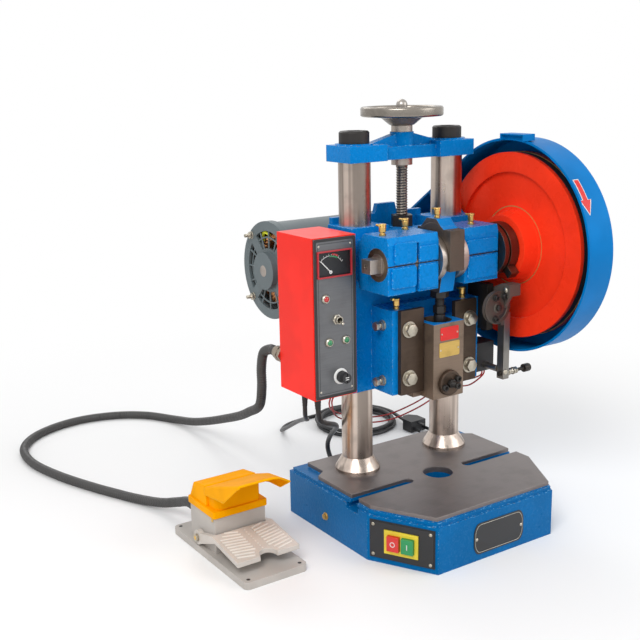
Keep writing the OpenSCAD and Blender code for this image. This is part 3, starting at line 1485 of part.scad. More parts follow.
function coil_gap() = min([for (i = [0:len(coil_path) - 1])
    for (j = [i + coil_steps / 2:1:len(coil_path) - 1])
        norm(coil_path[i] - coil_path[j]) - mains_d]);
mains_route = [mains_exit, mains_exit - [0, 0, mains_d], mains_exit - [0, 0, 2 * mains_d],
    mains_exit + [1, 2, -29], mains_exit + [7, 11, -45],
    [-164, 118, 172], [-142, 150, 158], [-114, 200, 138], [-86, 262, 112], [-58, 326, 82],
    [-34, 384, 54], [-8, 446, 25], [14, 486, 8], [42, 514, 3.5], [84, 525, 3.5], [124, 528, 3.5],
    coil_path[0] - [mains_d, 0, 0], coil_path[0]];
module mains_lead() color("dimgray") {
    cord(smooth(mains_route, 5), mains_d / 2, cord_sides, [1, 0, 0]);
    cord(smooth(tail_route, 4), mains_d / 2, cord_sides, [1, 0, 0]);
}
module mains_coil() color("dimgray") {
    echo(least_gap_of_the_coil = coil_gap());
    cord(coil_path, mains_d / 2, coil_sides, [0, 0, 1]);
}
plug_end = [coil_x + coil_r - 9, coil_y - coil_r + 12, plug_cord_z];
coil_end = coil_path[len(coil_path) - 1];
tail_route = [coil_end - [0, face_gap, 0], coil_end - [0, mains_d, 0],
    (coil_end + plug_end) / 2, plug_end + [0, mains_d, 0], plug_end + [0, face_gap, 0]];
module mains_plug() color("black") translate([plug_end[0], plug_end[1], 0]) {
    translate([0, 0, plug_cord_z - plug_t / 2]) linear_extrude(plug_t) polygon(mirrored([
        [plug_nose / 2, 0], [plug_w / 2, -plug_nose], [plug_w / 2, -plug_l]]));
    translate([0, -plug_l, plug_cord_z]) {
        for (s = [-1, 1]) span([s * plug_pin_gap - plug_pin_t / 2, -plug_pin_l,
            -plug_pin_rise / 2 - plug_pin_w / 2],
            [s * plug_pin_gap + plug_pin_t / 2, seat, -plug_pin_rise / 2 + plug_pin_w / 2]);
        span([-plug_pin_w / 2, -plug_pin_l, plug_pin_rise - plug_pin_t / 2],
            [plug_pin_w / 2, seat, plug_pin_rise + plug_pin_t / 2]);
    }
}
cable_exit = [box_x + cable_box_x, box_y + cable_box_y, box_z];
cable_end = [-cable_x, body_back, cable_z];
cable_route = [cable_exit, cable_exit - [0, 0, cable_d], cable_exit - [0, 0, 2 * cable_d],
    cable_exit + [2, 2, -30], cable_exit + [11, 12, -48],
    [-150, 90, 171], [-129, 106, 160], [-104, 128, 147], [-82, 156, 130], [-64, 190, 110],
    [-54, 218, 88], [-51, 229, 68], [-50, 221, 48], cable_end + [0, 30, 0],
    cable_end + [0, cable_d, 0], cable_end];
module switch_cable() color("black")
    cord(smooth(cable_route, 5), cable_d / 2, cord_sides, [1, 0, 0]);
leads_exit = [box_x + leads_x, box_y + leads_y, box_z];
leads_end = [slideway_half_w + solenoid_w - 3 * lead_d, solenoid_y + solenoid_lead_y, solenoid_z];
leads_route = [[0, 0, 0], [0, 0, -12], [14, 26, -36], [52, 66, -66], [106, 72, -88],
    [160, 70, -94], [214, 66, -84], [256, 58, -66], [270, 28, -48], [262, -12, -32]];
module solenoid_leads() color("red") for (s = [0, 1]) {
    shift = [s * 2 * lead_d, 0, 0];
    sag = [0, 0, s * 10];
    cord(smooth(concat([for (i = [0:len(leads_route) - 1]) leads_exit + shift + leads_route[i]
        - (i > 2 ? sag : [0, 0, 0])],
        [leads_end + shift - [0, 0, 14], leads_end + shift]), 5), lead_d / 2, cord_sides, [1, 0, 0]);
}

base_casting();
columns();
bridge();
bridge_screws();
switch_plate();
switch_bezel();
start_button();
stop_button();
handwheel();
lift_screw();
thrust_collars();
dome_nut();
head_casting();
lift_nut();
main_bushes();
oil_cups();
gib_plates();
gib_bolts();
head_set_screws();
belt_guard();
motor_plate();
motor_housing();
motor_end_cover();
motor_stator();
motor_rotor();
motor_pulley();
drive_belt();
flywheel();
crankshaft();
clutch_ring();
connecting_rod();
rod_cap();
adjusting_screw();
rod_lock_nut();
ram();
shank_clamp();
shank_screws();
trip_bracket();
trip_lever();
lever_adjuster();
solenoid();
solenoid_plunger();
control_box();
box_panel();
voltmeter();
meter_needle();
panel_fittings();
toggle_lever();
fuse_cap();
conduit_gland();
pedal_base();
pedal_hood();
treadle();
treadle_pin();
foot_conduit();
mains_lead();
mains_coil();
mains_plug();
switch_cable();
solenoid_leads();
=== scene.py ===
import bmesh
import bpy
import math
import numpy as np
from mathutils import Matrix, Vector


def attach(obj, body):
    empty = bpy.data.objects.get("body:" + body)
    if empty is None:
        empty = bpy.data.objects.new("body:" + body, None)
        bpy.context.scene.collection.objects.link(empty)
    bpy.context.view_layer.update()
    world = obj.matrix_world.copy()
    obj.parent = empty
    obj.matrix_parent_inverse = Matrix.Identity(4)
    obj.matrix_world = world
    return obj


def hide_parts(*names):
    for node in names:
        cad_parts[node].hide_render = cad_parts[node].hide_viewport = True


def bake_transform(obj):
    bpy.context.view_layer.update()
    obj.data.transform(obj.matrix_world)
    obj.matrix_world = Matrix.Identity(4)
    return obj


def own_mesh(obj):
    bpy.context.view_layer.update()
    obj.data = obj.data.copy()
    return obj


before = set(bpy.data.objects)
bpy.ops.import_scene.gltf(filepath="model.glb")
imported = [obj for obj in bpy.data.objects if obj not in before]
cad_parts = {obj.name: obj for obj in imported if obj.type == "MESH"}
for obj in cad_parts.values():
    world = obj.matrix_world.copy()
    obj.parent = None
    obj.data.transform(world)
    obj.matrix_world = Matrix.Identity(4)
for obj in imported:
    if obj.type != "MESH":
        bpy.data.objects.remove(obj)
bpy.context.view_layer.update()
MM = 0.001

# Places on the machine in millimetres. The die hole's axis is X 0, Y 0, and the bench is Z 0.
SHAFT_Z = 423.0
COLUMN_X, COLUMN_Y = 88.3, 90.0
BRIDGE_TOP = 587.4
LIFT_PITCH = 4.0
OIL_CUPS = ((-105.8, 0, 464), (-46, 24, 464), (59.8, 0, 464), (-69, 16, 350), (58.5, 16, 350))
BLOCK_FACE = -25.0
GIB_X, GIB_FACE, GIB_BOLT_Z = 58.5, -1.0, (247, 321)
CLAMP_Z = 234.7
RAM_FACE = -22.7
MOTOR_Y, MOTOR_Z = 200.0, 393.0
MOTOR_FACE = -172.0
GUARD_X, GUARD_R = 147.5, 163.0
TRIP_X, TRIP_Z = 82.0, 340.0
ADJUSTER_Y, ADJUSTER_Z = -25.0, 230.0
BOX_X, BOX_Y, BOX_Z = -205.0, 30.0, 231.0
PANEL_Y = 28.5
RED_LAMP, GREEN_LAMPS = (-185, 379), ((-180, 315), (-151, 315))
TOGGLE_X, TOGGLE_Z = -166, 347
FUSE_X, FUSE_Z = -161, 262
METER_X, METER_Z, METER_FRONT, DIAL_Y = -169, 428, 25.5, 30.4
NEEDLE_PIVOT = (-174, 416)
GLAND_X, GLAND_Z = -197, 279
BASE_FACE = -134.0
PLAQUE_X, PLAQUE_Z = 3, 34
PEDAL_X = -302.0

# The camera stands where the photograph was taken: focal length in pixels of a 640 pixel frame,
# place in millimetres, and its turn, dip and tilt in degrees.
FOCAL, FRAME, SENSOR = 1010.664, 640, 36.0
TURN, DIP, TILT = -33.595, 13.781, -1.128
EYE = (-957.918, -1120.389, 688.705)


def aim_camera():
    """Looks ahead along turn and dip, with right square to it, and tilts both about it."""
    turn, dip, tilt = (math.radians(a) for a in (TURN, DIP, TILT))
    ahead = Vector((-math.sin(turn) * math.cos(dip), math.cos(turn) * math.cos(dip), -math.sin(dip)))
    right = ahead.cross(Vector((0, 0, 1))).normalized()
    up = right.cross(ahead)
    across = right * math.cos(tilt) + up * math.sin(tilt)
    upright = up * math.cos(tilt) - right * math.sin(tilt)
    data = bpy.data.cameras.new("camera")
    data.sensor_width = SENSOR
    data.lens = FOCAL / FRAME * SENSOR
    data.clip_end = 30
    camera = bpy.data.objects.new("camera", data)
    camera.matrix_world = Matrix((
        (across.x, upright.x, -ahead.x, EYE[0] * MM), (across.y, upright.y, -ahead.y, EYE[1] * MM),
        (across.z, upright.z, -ahead.z, EYE[2] * MM), (0, 0, 0, 1)))
    bpy.context.scene.collection.objects.link(camera)
    bpy.context.scene.camera = camera


aim_camera()


# Shader maths
class Value:
    """One socket of a node tree. Sums and products of values add Math nodes."""

    def __init__(self, nodes, socket):
        self.nodes, self.socket = nodes, socket

    def maths(self, operation, *others):
        """A Math node of the value and others."""
        return self.nodes.node("Math", {"operation": operation}, self, *others)

    def __add__(self, other):
        return self.maths("ADD", other)

    def __mul__(self, other):
        return self.maths("MULTIPLY", other)

    def __sub__(self, other):
        return self.maths("SUBTRACT", other)

    def __gt__(self, other):
        return self.maths("GREATER_THAN", other)

    def __lt__(self, other):
        return self.maths("LESS_THAN", other)

    def __rsub__(self, other):
        return self.nodes.node("Math", {"operation": "SUBTRACT"}, other, self)

    __radd__, __rmul__ = __add__, __mul__

    def __abs__(self):
        return self.maths("ABSOLUTE")

    def most(self, other):
        """The larger of two values."""
        return self.maths("MAXIMUM", other)

    def ease(self, low, high):
        """0 below low, 1 above high, and a smooth climb between them."""
        return self.nodes.node("MapRange", {"interpolation_type": "SMOOTHSTEP"}, self, low, high)


class Nodes:
    """A node tree that nodes are added to."""

    def __init__(self, tree, end):
        self.tree, self.end = tree, tree.nodes[end].inputs[0]

    def fill(self, socket, value):
        """Links a value to a socket, or sets the socket to a number, a direction or a colour."""
        if isinstance(value, Value):
            self.tree.links.new(value.socket, socket)
        elif value is not None:
            colour = isinstance(value, tuple) and socket.type == "RGBA"
            socket.default_value = (*value, 1) if colour else value

    def node(self, kind, settings, *values, output=0, **named):
        """Adds a node, sets it, and fills its sockets in order and by name."""
        made = self.tree.nodes.new("ShaderNode" + kind)
        for key, value in settings.items():
            setattr(made, key, value)
        for key, value in [*enumerate(values), *named.items()]:
            self.fill(made.inputs[key if isinstance(key, int) else key.replace("_", " ")], value)
        if isinstance(output, tuple):
            return [Value(self, made.outputs[key]) for key in output]
        return Value(self, made.outputs[output])

    def show(self, shader):
        """Sends a shader to the tree's output."""
        self.tree.links.new(shader.socket, self.end)


class Finish(Nodes):
    """A material with one Principled shader and the place of each point, in millimetres."""

    def __init__(self, name):
        self.material = bpy.data.materials.new(name)
        self.material.use_nodes = True
        super().__init__(self.material.node_tree, "Material Output")
        self.shader = self.tree.nodes["Principled BSDF"]
        self.place = self.node("TexCoord", {}, output="Object")
        cut = self.node("SeparateXYZ", {}, self.place, output=(0, 1, 2))
        self.x, self.y, self.z = (part * (1 / MM) for part in cut)

    def noise(self, size, detail=2.0, stretch=None, rough=0.5):
        """Noise whose grains are about size millimetres across, stretched along each axis."""
        where = self.place
        if stretch:
            where = self.node("Mapping", {"vector_type": "POINT"}, self.place, Scale=stretch)
        return self.node("TexNoise", {}, where, Scale=1 / MM / size, Detail=detail, Roughness=rough)

    def blend(self, share, first, second):
        """A colour that goes from first to second as share goes from 0 to 1. In a Mix node five
        sockets of other kinds lie between the share and the two colours."""
        other_kinds = [None] * 5
        return self.node("Mix", {"data_type": "RGBA"}, share, *other_kinds, first, second, output=2)

    def soft_edge(self, radius):
        """Normals that turn over a radius in millimetres at each edge, and a mask of the edges."""
        normal = self.node("Bevel", {"samples": 4}, Radius=radius * MM)
        flat = self.node("NewGeometry", {}, output="True Normal")
        return normal, 1 - self.node("VectorMath", {"operation": "DOT_PRODUCT"}, normal, flat, output=1)

    def cover(self, height=None, depth=0.2, normal=None, **sockets):
        """Sets the shader. height is a relief of depth millimetres."""
        for key, value in sockets.items():
            self.fill(self.shader.inputs[key.replace("_", " ")], value)
        if height is not None:
            normal = self.node("Bump", {}, Strength=1.0, Distance=depth * MM, Height=height,
                               Normal=normal)
        self.fill(self.shader.inputs["Normal"], normal)
        return self.material

    def mixed(self, share, second):
        """Shows the shader where share is 0 and a second shader where it is 1."""
        self.show(self.node("MixShader", {}, share, Value(self, self.shader.outputs[0]), second))


def shade(colour, by, add=0.0):
    """A colour times a number, plus a number, up to 1."""
    return tuple(min(1, c * by + add) for c in colour)


def enamel(name, colour, grain=5.0, depth=0.14, rough=0.3, edge=1.4, wear=0.0, metal=None,
           metal_colour=(0.2, 0.18, 0.165), tint=(1.0, 1.0, 1.0), shine=0.32, painted_glints=0.0):
    """Sprayed enamel over a casting: lumpy grain, edges painted paler as a highlight, and, where glints are
    asked for, painted shade in the hollows of the lumps and painted glints near the edges; chips where wear
    is. metal is a function of the finish that gives where the casting is machined bare."""
    f = Finish(name)
    lumps = f.noise(grain, 3.0)
    broad = f.noise(70, 2.0)
    normal, edges = f.soft_edge(edge)
    paint = f.blend(broad.ease(0.35, 0.7), shade(colour, 0.86), colour)
    # Darker where the lumps are low: painted shade in the hollows of the grain.
    paint = f.blend(lumps.ease(0.3, 0.5), shade(colour, 0.88), paint) if painted_glints else paint
    # Edges painted paler than the enamel: a painted highlight.
    paint = f.blend(edges.ease(0.03, 0.25) * 0.7, paint, shade(colour, 1.3, 0.003))
    if painted_glints:
        # Pale blue flecks near the edges: painted glints on the lumpy enamel.
        glint_spots = f.noise(grain * 0.6, 2.0).ease(0.54, 0.66)
        near = edges.ease(0.004, 0.06) * 0.95 + 0.04
        paint = f.blend(glint_spots * near * painted_glints, paint, GLINT_BLUE)
    if wear:
        chips = edges.ease(0.05, 0.2) * f.noise(6, 4.0).ease(0.62 - wear, 0.7 - wear)
        paint = f.blend(chips, paint, CHIPPED)
    made = f.cover(lumps, depth, normal, Base_Color=paint, Roughness=rough + lumps * 0.12,
                   Specular_IOR_Level=shine, Specular_Tint=tint)
    if metal:
        streak = f.noise(2.2, 3.0, stretch=(0.06, 1, 1))
        blots = f.noise(30, 4.0).ease(0.45, 0.7)
        bare = f.blend(streak, shade(metal_colour, 0.75), shade(metal_colour, 1.2))
        bare = f.blend(blots * 0.3, bare, shade(metal_colour, 0.6))
        steel = f.node("BsdfPrincipled", {}, Base_Color=bare, Metallic=0.75,
                       Roughness=0.32 + streak * 0.2, Normal=normal)
        f.mixed(metal(f), steel)
    return made


def machined(name, colour, rough=0.28, streak=(1, 1, 0.04), size=1.6, depth=0.02, edge=0.6,
             stain=0.35, metallic=1.0, dark=None, dark_where=None, bands=False):
    """Bare metal with tool marks drawn out along one axis, faint stains and edges painted paler as a
    highlight. dark_where is a function of the finish that gives where it has the dull colour dark; bands
    add dark upright streaks, painted reflections."""
    f = Finish(name)
    marks = f.noise(size, 3.0, stretch=streak)
    blots = f.noise(26, 4.0)
    normal, edges = f.soft_edge(edge)
    base = f.blend(marks, shade(colour, 0.82), shade(colour, 1.12))
    base = f.blend(blots.ease(0.5, 0.72) * stain, base, shade(colour, 0.5))
    # Edges painted paler than the metal: a painted highlight.
    base = f.blend(edges.ease(0.04, 0.3) * 0.5, base, shade(colour, 1.5, 0.03))
    # Dark upright streaks: painted reflections on the round metal.
    if bands:
        upright = f.noise(15, 2.0, stretch=(1, 1, 0.012))
        base = f.blend(upright.ease(0.47, 0.6) * 0.75, base, shade(colour, 0.32))
    metal = metallic
    if dark_where:
        where = dark_where(f)
        base = f.blend(where, base, dark)
        metal = metallic * (1 - where)
    return f.cover(marks, depth, normal, Base_Color=base, Metallic=metal,
                   Roughness=rough + blots * 0.14 + marks * 0.05)


def moulded(name, colour, rough=0.42, grain=0.7, depth=0.02, edge=0.8, coat=0.0):
    """Moulded plastic: fine spark-eroded grain and edges painted slightly paler, a painted highlight."""
    f = Finish(name)
    fine = f.noise(grain, 2.0)
    broad = f.noise(40, 2.0)
    normal, edges = f.soft_edge(edge)
    base = f.blend(broad.ease(0.3, 0.75), shade(colour, 0.85), colour)
    # Edges painted paler than the plastic: a painted highlight.
    base = f.blend(edges.ease(0.05, 0.4) * 0.35, base, shade(colour, 1.3, 0.02))
    return f.cover(fine, depth, normal, Base_Color=base, Roughness=rough + broad * 0.1,
                   Coat_Weight=coat, Coat_Roughness=0.1)


# Where one node has two finishes
def distance(a, b):
    """Distance from an axis: the root of the two squares across it."""
    return (a * a + b * b).maths("SQRT")


def table_metal(f):
    """The machined table, and the rim at the top of the die hole."""
    table_z, rim_r, rim_z = 78.05, 23.4, 74.5
    rim = ((f.x * f.x + f.y * f.y) < rim_r * rim_r) * (f.z > rim_z)
    return (f.z > table_z).most(rim)


def bore_metal(f):
    """The machined foot of the slideway."""
    low, high = 211, 212.3
    return (f.z < high) * (f.z > low)


def hub_metal(f):
    """The turned line round the flywheel's hub and its belt groove."""
    far = distance(f.y, f.z - SHAFT_Z)
    groove_r, groove_low, groove_high = 142.0, 148, 161.2
    line_r, line_half, line_high = 60.5, 0.75, 150
    groove = (far > groove_r) * (f.x > groove_low) * (f.x < groove_high)
    return groove.most((abs(far - line_r) < line_half) * (f.x < line_high))


def rod_metal(f):
    """The rod's machined cheeks and the front of its cap."""
    cheek_x, front_y, front_top = 13.3, -34.5, 465
    return (abs(f.x) > cheek_x).most((f.y < front_y) * (f.z < front_top))


def wheel_inside(f):
    """The dull dish of the handwheel and its underside."""
    dish_r = 51.2
    return (distance(f.x, f.y - COLUMN_Y) < dish_r) * 0.8


def lever_joints(f):
    """All of the trip lever but its bright bar."""
    bar_top, bar_side = 329, 102
    return (f.z > bar_top).most(f.x < bar_side)


def bush_slit(f):
    """The bushes in the shade of the slit between block and cap."""
    slit_half, outer_face = 1.4, -114.2
    return (abs(f.z - SHAFT_Z) < slit_half) * (f.x > outer_face)


def ram_paint(f):
    """The ram's painted top."""
    top_z, back_y = 326.6, 60
    return (f.z > top_z) * (f.y < back_y)


def node_finish(materials):
    """Gives each CAD node its material."""
    for name, material in materials.items():
        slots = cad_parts[name].material_slots
        if not slots:
            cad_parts[name].data.materials.append(material)
        for s in slots:
            s.material = material


# Colours, as red, green and blue in linear light
BLUE = (0.0002, 0.20, 0.58)
BLUE_TINT = (0.03, 0.5, 1.0)
# The pale blue of the painted glints on the enamel.
GLINT_BLUE = (0.28, 0.62, 0.92)
RED_TINT = (1.0, 0.22, 0.16)
ORANGE = (1.0, 0.042, 0.012)
CHIPPED = (0.16, 0.13, 0.11)
EVEN = (1, 1, 1)

# Finishes
castings = enamel("cast_blue", BLUE, depth=0.55, rough=0.22, wear=0.06, edge=1.8, tint=BLUE_TINT,
                  painted_glints=1.0)
# The base's blue is the casting blue darkened: painted shade on the base's faces.
shaded_base_blue = enamel("shaded_base_blue", (0.0002, 0.125, 0.36), depth=0.3, rough=0.24, wear=0.05, edge=2.4,
                   metal=table_metal, metal_colour=(0.215, 0.19, 0.182), tint=BLUE_TINT, painted_glints=0.8)
head_blue = enamel("head_blue", BLUE, depth=0.55, rough=0.22, wear=0.07, edge=1.8, metal=bore_metal,
                   metal_colour=(0.40, 0.38, 0.36), tint=BLUE_TINT, painted_glints=1.0)
guard_blue = enamel("guard_blue", (0.0002, 0.175, 0.50), grain=14, depth=0.08, rough=0.36, edge=1.0,
                    tint=BLUE_TINT, shine=0.2)
# The columns' dark upright bands are painted reflections.
column_chrome = machined("column_steel", (0.62, 0.52, 0.45), rough=0.2, streak=(1, 1, 0.03), size=2.0,
                         depth=0.004, stain=0.4, bands=True)
wheel_steel = machined("wheel_steel", (0.30, 0.27, 0.235), rough=0.17, streak=(1, 1, 6), size=3,
                       stain=0.45, edge=1.2, dark=(0.16, 0.115, 0.075), dark_where=wheel_inside)
bright_steel = machined("bright_steel", (0.40, 0.37, 0.34), rough=0.24)
shaft_steel = machined("shaft_steel", (0.42, 0.37, 0.33), rough=0.3, streak=(0.08, 1, 1))
brown_iron = machined("brown_iron", (0.080, 0.054, 0.038), rough=0.34, streak=(0.06, 1, 1),
                      size=2.4, depth=0.03, metallic=0.7, stain=0.5, edge=1.0)
ram_iron = machined("ram_iron", (0.225, 0.165, 0.122), rough=0.36, streak=(0.06, 1, 1), size=2.4,
                    depth=0.03, metallic=0.7, stain=0.5, edge=1.0, dark=BLUE, dark_where=ram_paint)
black_steel = machined("blackened_steel", (0.035, 0.032, 0.03), rough=0.34, metallic=0.6, stain=0.2)
zinc = machined("zinc_plate", (0.56, 0.52, 0.44), rough=0.24, streak=EVEN, size=4, stain=0.25)
brass = machined("brass", (0.72, 0.47, 0.15), rough=0.22, streak=(1, 1, 0.3), size=2, stain=0.3)
# In the slit between block and cap the bronze is near black: painted shade.
bronze = machined("bronze", (0.22, 0.175, 0.13), rough=0.36, streak=(0.3, 1, 1), size=2, stain=0.9,
                  dark=(0.004, 0.004, 0.004), dark_where=bush_slit)
clutch_steel = machined("clutch_steel", (0.15, 0.105, 0.08), streak=(0.08, 1, 1), size=2)
box_red = enamel("box_red", (0.97, 0.022, 0.012), grain=30, depth=0.03, rough=0.26, edge=1.2,
                 tint=RED_TINT)
fly_orange = enamel("flywheel_orange", ORANGE, grain=20, depth=0.04, rough=0.22, edge=1.6,
                    metal=hub_metal, metal_colour=(0.72, 0.48, 0.15), tint=(1.0, 0.3, 0.1))
motor_grey = enamel("motor_grey", (0.125, 0.155, 0.165), grain=7, depth=0.05, rough=0.34, edge=1.2)
panel_metal = machined("panel_alloy", (0.165, 0.168, 0.175), rough=0.36, streak=(0.05, 1, 1), size=1.4,
                       metallic=0.8, stain=0.15)
rod_blue = enamel("rod_blue", BLUE, depth=0.3, wear=0.08, edge=1.2, metal=rod_metal,
                  metal_colour=(0.15, 0.125, 0.105), tint=BLUE_TINT, painted_glints=1.0)
pitted_iron = machined("pitted_iron", (0.10, 0.078, 0.06), rough=0.42, streak=EVEN, size=1.8,
                      depth=0.12, metallic=0.6, stain=0.6)
black_plastic = moulded("black_plastic", (0.018, 0.018, 0.02))
meter_red = moulded("meter_red", (0.45, 0.02, 0.03), rough=0.3)
yellow_plastic = moulded("yellow_plastic", (0.80, 0.62, 0.03), coat=0.2)
green_plastic = moulded("green_plastic", (0.01, 0.30, 0.09), rough=0.3, coat=0.3)
red_plastic = moulded("red_plastic", (0.72, 0.02, 0.015), rough=0.3, coat=0.3)
pedal_grey = enamel("pedal_grey", (0.50, 0.465, 0.43), grain=2.4, depth=0.06, rough=0.36)
hood_yellow = enamel("hood_yellow", (0.97, 0.40, 0.001), grain=1.6, depth=0.05, rough=0.5, edge=1.6,
                     tint=(1.0, 0.5, 0.02), shine=0.06)
treadle_alloy = enamel("treadle_alloy", (0.63, 0.58, 0.53), grain=2.0, depth=0.05, rough=0.36, edge=1.2)
rubber_black = moulded("rubber", (0.02, 0.02, 0.021), rough=0.5)
gland_nickel = machined("gland_nickel", (0.34, 0.285, 0.225), rough=0.26, streak=(1, 0.1, 1), size=3,
                        stain=0.6)
lead_black = moulded("lead_sheath", (0.024, 0.024, 0.026), rough=0.4)
conduit_grey = moulded("conduit_grey", (0.045, 0.043, 0.042), rough=0.38, coat=0.15)
wire_red = moulded("wire_red", (0.55, 0.012, 0.012), rough=0.35)
white_mark = moulded("white_mark", (0.85, 0.85, 0.83), rough=0.4)
spring_bright = machined("spring_bright", (0.62, 0.58, 0.50), rough=0.2, streak=EVEN, size=3,
                         edge=0.2)
tread_bright = enamel("tread_bright", (0.80, 0.75, 0.69), grain=2.0, depth=0.03, rough=0.3, edge=0.4)
copper = machined("copper_wire", (0.55, 0.24, 0.10), rough=0.3, streak=(0.05, 1, 1), size=1.2, depth=0.2)
thread_steel = machined("thread_steel", (0.20, 0.175, 0.15), rough=0.32, streak=EVEN, size=3, edge=0.3)
zinc_worn = machined("worn_zinc", (0.50, 0.46, 0.38), rough=0.3, streak=EVEN, size=3, stain=0.6,
                     edge=0.5)
trip_steel = machined("trip_steel", (0.05, 0.043, 0.038), rough=0.34, streak=EVEN, size=4,
                      metallic=0.8, stain=0.3)
trip_face_steel = machined("trip_face_steel", (0.11, 0.095, 0.08), rough=0.34, streak=EVEN,
                           size=4, metallic=0.8, stain=0.3)
lever_steel = machined("lever_steel", (0.26, 0.245, 0.225), rough=0.34, streak=(1, 1, 0.1), size=3,
                       dark=(0.09, 0.075, 0.065), dark_where=lever_joints)
plate_red = moulded("plate_red", (0.74, 0.010, 0.008), rough=0.4, edge=0.3)
plate_brass = machined("plate_brass", (0.62, 0.42, 0.13), rough=0.3, streak=(0.1, 1, 1), size=1.5, edge=0.4)
black_plate = moulded("black_plate", (0.012, 0.012, 0.013), rough=0.28, coat=0.3, edge=0.3)
dial_black = moulded("dial_black", (0.008, 0.009, 0.012), rough=0.35, edge=0.3)
lens_red = moulded("lens_red", (0.55, 0.006, 0.008), rough=0.12, coat=0.8, edge=0.3)
lens_green = moulded("lens_green", (0.004, 0.22, 0.07), rough=0.12, coat=0.8, edge=0.3)
white_nylon = moulded("white_nylon", (0.78, 0.78, 0.76), rough=0.35)
earth_yellow = moulded("earth_yellow", (0.72, 0.75, 0.02), rough=0.4)

node_finish({
    "base_casting": shaded_base_blue, "columns": column_chrome, "bridge": castings,
    "bridge_screws": black_steel, "switch_plate": black_plastic, "switch_bezel": yellow_plastic,
    "start_button": green_plastic, "stop_button": red_plastic, "handwheel": wheel_steel,
    "lift_screw": bright_steel, "thrust_collars": shaft_steel, "dome_nut": bright_steel,
    "head_casting": head_blue, "lift_nut": black_steel, "main_bushes": bronze, "oil_cups": brass,
    "gib_plates": brown_iron, "gib_bolts": zinc, "head_set_screws": zinc, "belt_guard": guard_blue,
    "motor_plate": castings, "motor_housing": motor_grey, "motor_end_cover": motor_grey,
    "motor_stator": brown_iron, "motor_rotor": bright_steel, "motor_pulley": black_steel,
    "drive_belt": rubber_black, "flywheel": fly_orange, "crankshaft": shaft_steel,
    "clutch_ring": clutch_steel, "connecting_rod": rod_blue, "rod_cap": rod_blue,
    "adjusting_screw": black_steel, "rod_lock_nut": shaft_steel, "ram": ram_iron,
    "shank_clamp": brown_iron, "shank_screws": black_steel, "trip_bracket": trip_steel,
    "trip_lever": lever_steel, "lever_adjuster": trip_steel, "solenoid": black_plastic,
    "solenoid_plunger": bright_steel, "control_box": box_red, "box_panel": panel_metal,
    "voltmeter": meter_red, "meter_needle": white_mark, "panel_fittings": zinc,
    "toggle_lever": zinc, "fuse_cap": black_plastic, "conduit_gland": bronze,
    "pedal_base": pedal_grey, "pedal_hood": hood_yellow, "treadle": treadle_alloy,
    "treadle_pin": zinc_worn, "mains_plug": black_plastic})


# Shapes, in millimetres
def along(axis, across, up, ahead):
    """Coordinates across and along an axis, put in the order X, Y, Z."""
    order = {"z": (across, up, ahead), "x": (ahead, across, up), "y": (up, ahead, across)}
    return np.stack(order[axis], -1)


def shifted(place, axis, by):
    """A place moved along one axis."""
    return tuple(c + (by if name == axis else 0) for name, c in zip("xyz", place))


def sheet_of(points, close_u=False, close_v=False):
    """Quads between neighbouring rows u and columns v of a grid of points, joined end to end
    where a direction is closed."""
    n, m = points.shape[:2]
    i = np.arange(n if close_u else n - 1)[:, None]
    j = np.arange(m if close_v else m - 1)[None, :]
    a, b = i * m + j, i * m + (j + 1) % m
    c, d = ((i + 1) % n) * m + (j + 1) % m, ((i + 1) % n) * m + j
    return points.reshape(-1, 3), np.stack([a, b, c, d], -1).reshape(-1, 4).tolist()


def rounded(corners, radius, steps=4):
    """A closed outline whose corners become quadratic curves that start radius away from each
    corner, or halfway along a shorter edge."""
    p = np.asarray(corners, float)
    r = np.broadcast_to(np.asarray(radius, float), (len(p),))[:, None]
    back, ahead = np.roll(p, 1, 0) - p, np.roll(p, -1, 0) - p
    lb, la = np.linalg.norm(back, axis=1)[:, None], np.linalg.norm(ahead, axis=1)[:, None]
    start, end = p + back / lb * np.minimum(r, lb / 2), p + ahead / la * np.minimum(r, la / 2)
    t = np.linspace(0, 1, steps + 1)[None, :, None]
    s, e, q = start[:, None], end[:, None], p[:, None]
    return ((1 - t) ** 2 * s + 2 * t * (1 - t) * q + t * t * e).reshape(-1, p.shape[1])


def oblong(x0, y0, x1, y1, r, steps=5):
    """A rectangle with rounded corners."""
    return rounded([(x0, y0), (x1, y0), (x1, y1), (x0, y1)], r, steps)


def round_shape(radius, height, angle, centre, axis, loop=False):
    """Rows of radii and heights set round an axis through centre: each point lies radius times
    cosine and sine of its angle across the axis, and height along it."""
    grid = along(axis, radius * np.cos(angle), radius * np.sin(angle), height)
    return sheet_of(grid + np.asarray(centre, float), loop, True)


def full_turn(steps):
    """Angles of one turn in equal steps."""
    return np.linspace(0, 2 * math.pi, steps, endpoint=False)


def turned(profile, centre, axis="z", steps=64, loop=False):
    """A profile of radius and distance, turned about an axis through centre."""
    p = np.asarray(profile, float)
    r, h = np.repeat(p[:, :1], steps, 1), np.repeat(p[:, 1:], steps, 1)
    return round_shape(r, h, full_turn(steps), centre, axis, loop)


def pin(radius, low, high, centre, axis="z", steps=24):
    """A solid cylinder from low to high along an axis."""
    return turned([(0, low), (radius, low), (radius, high), (0, high)], centre, axis, steps)


def washer(bore, radius, low, high, centre, axis="y", steps=28):
    """A ring with a square section from low to high along an axis."""
    return turned([(bore, low), (radius, low), (radius, high), (bore, high)], centre, axis, steps, True)


def ridges(radius, deep, start, step, count):
    """Points of a ridged rod's side: every other one lies deep below the radius."""
    return [(radius - deep * (i % 2), start + step * i) for i in range(count)]


def dome(centre, radius, height, axis="z", sign=1, steps=20):
    """A low round head: height times the square root of one minus radius squared."""
    rise = np.linspace(0, 1, 7) * math.pi / 2
    profile = [(0, 0), (radius, 0)] + [(radius * math.cos(a), sign * height * math.sin(a)) for a in rise]
    return turned(profile, centre, axis, steps)


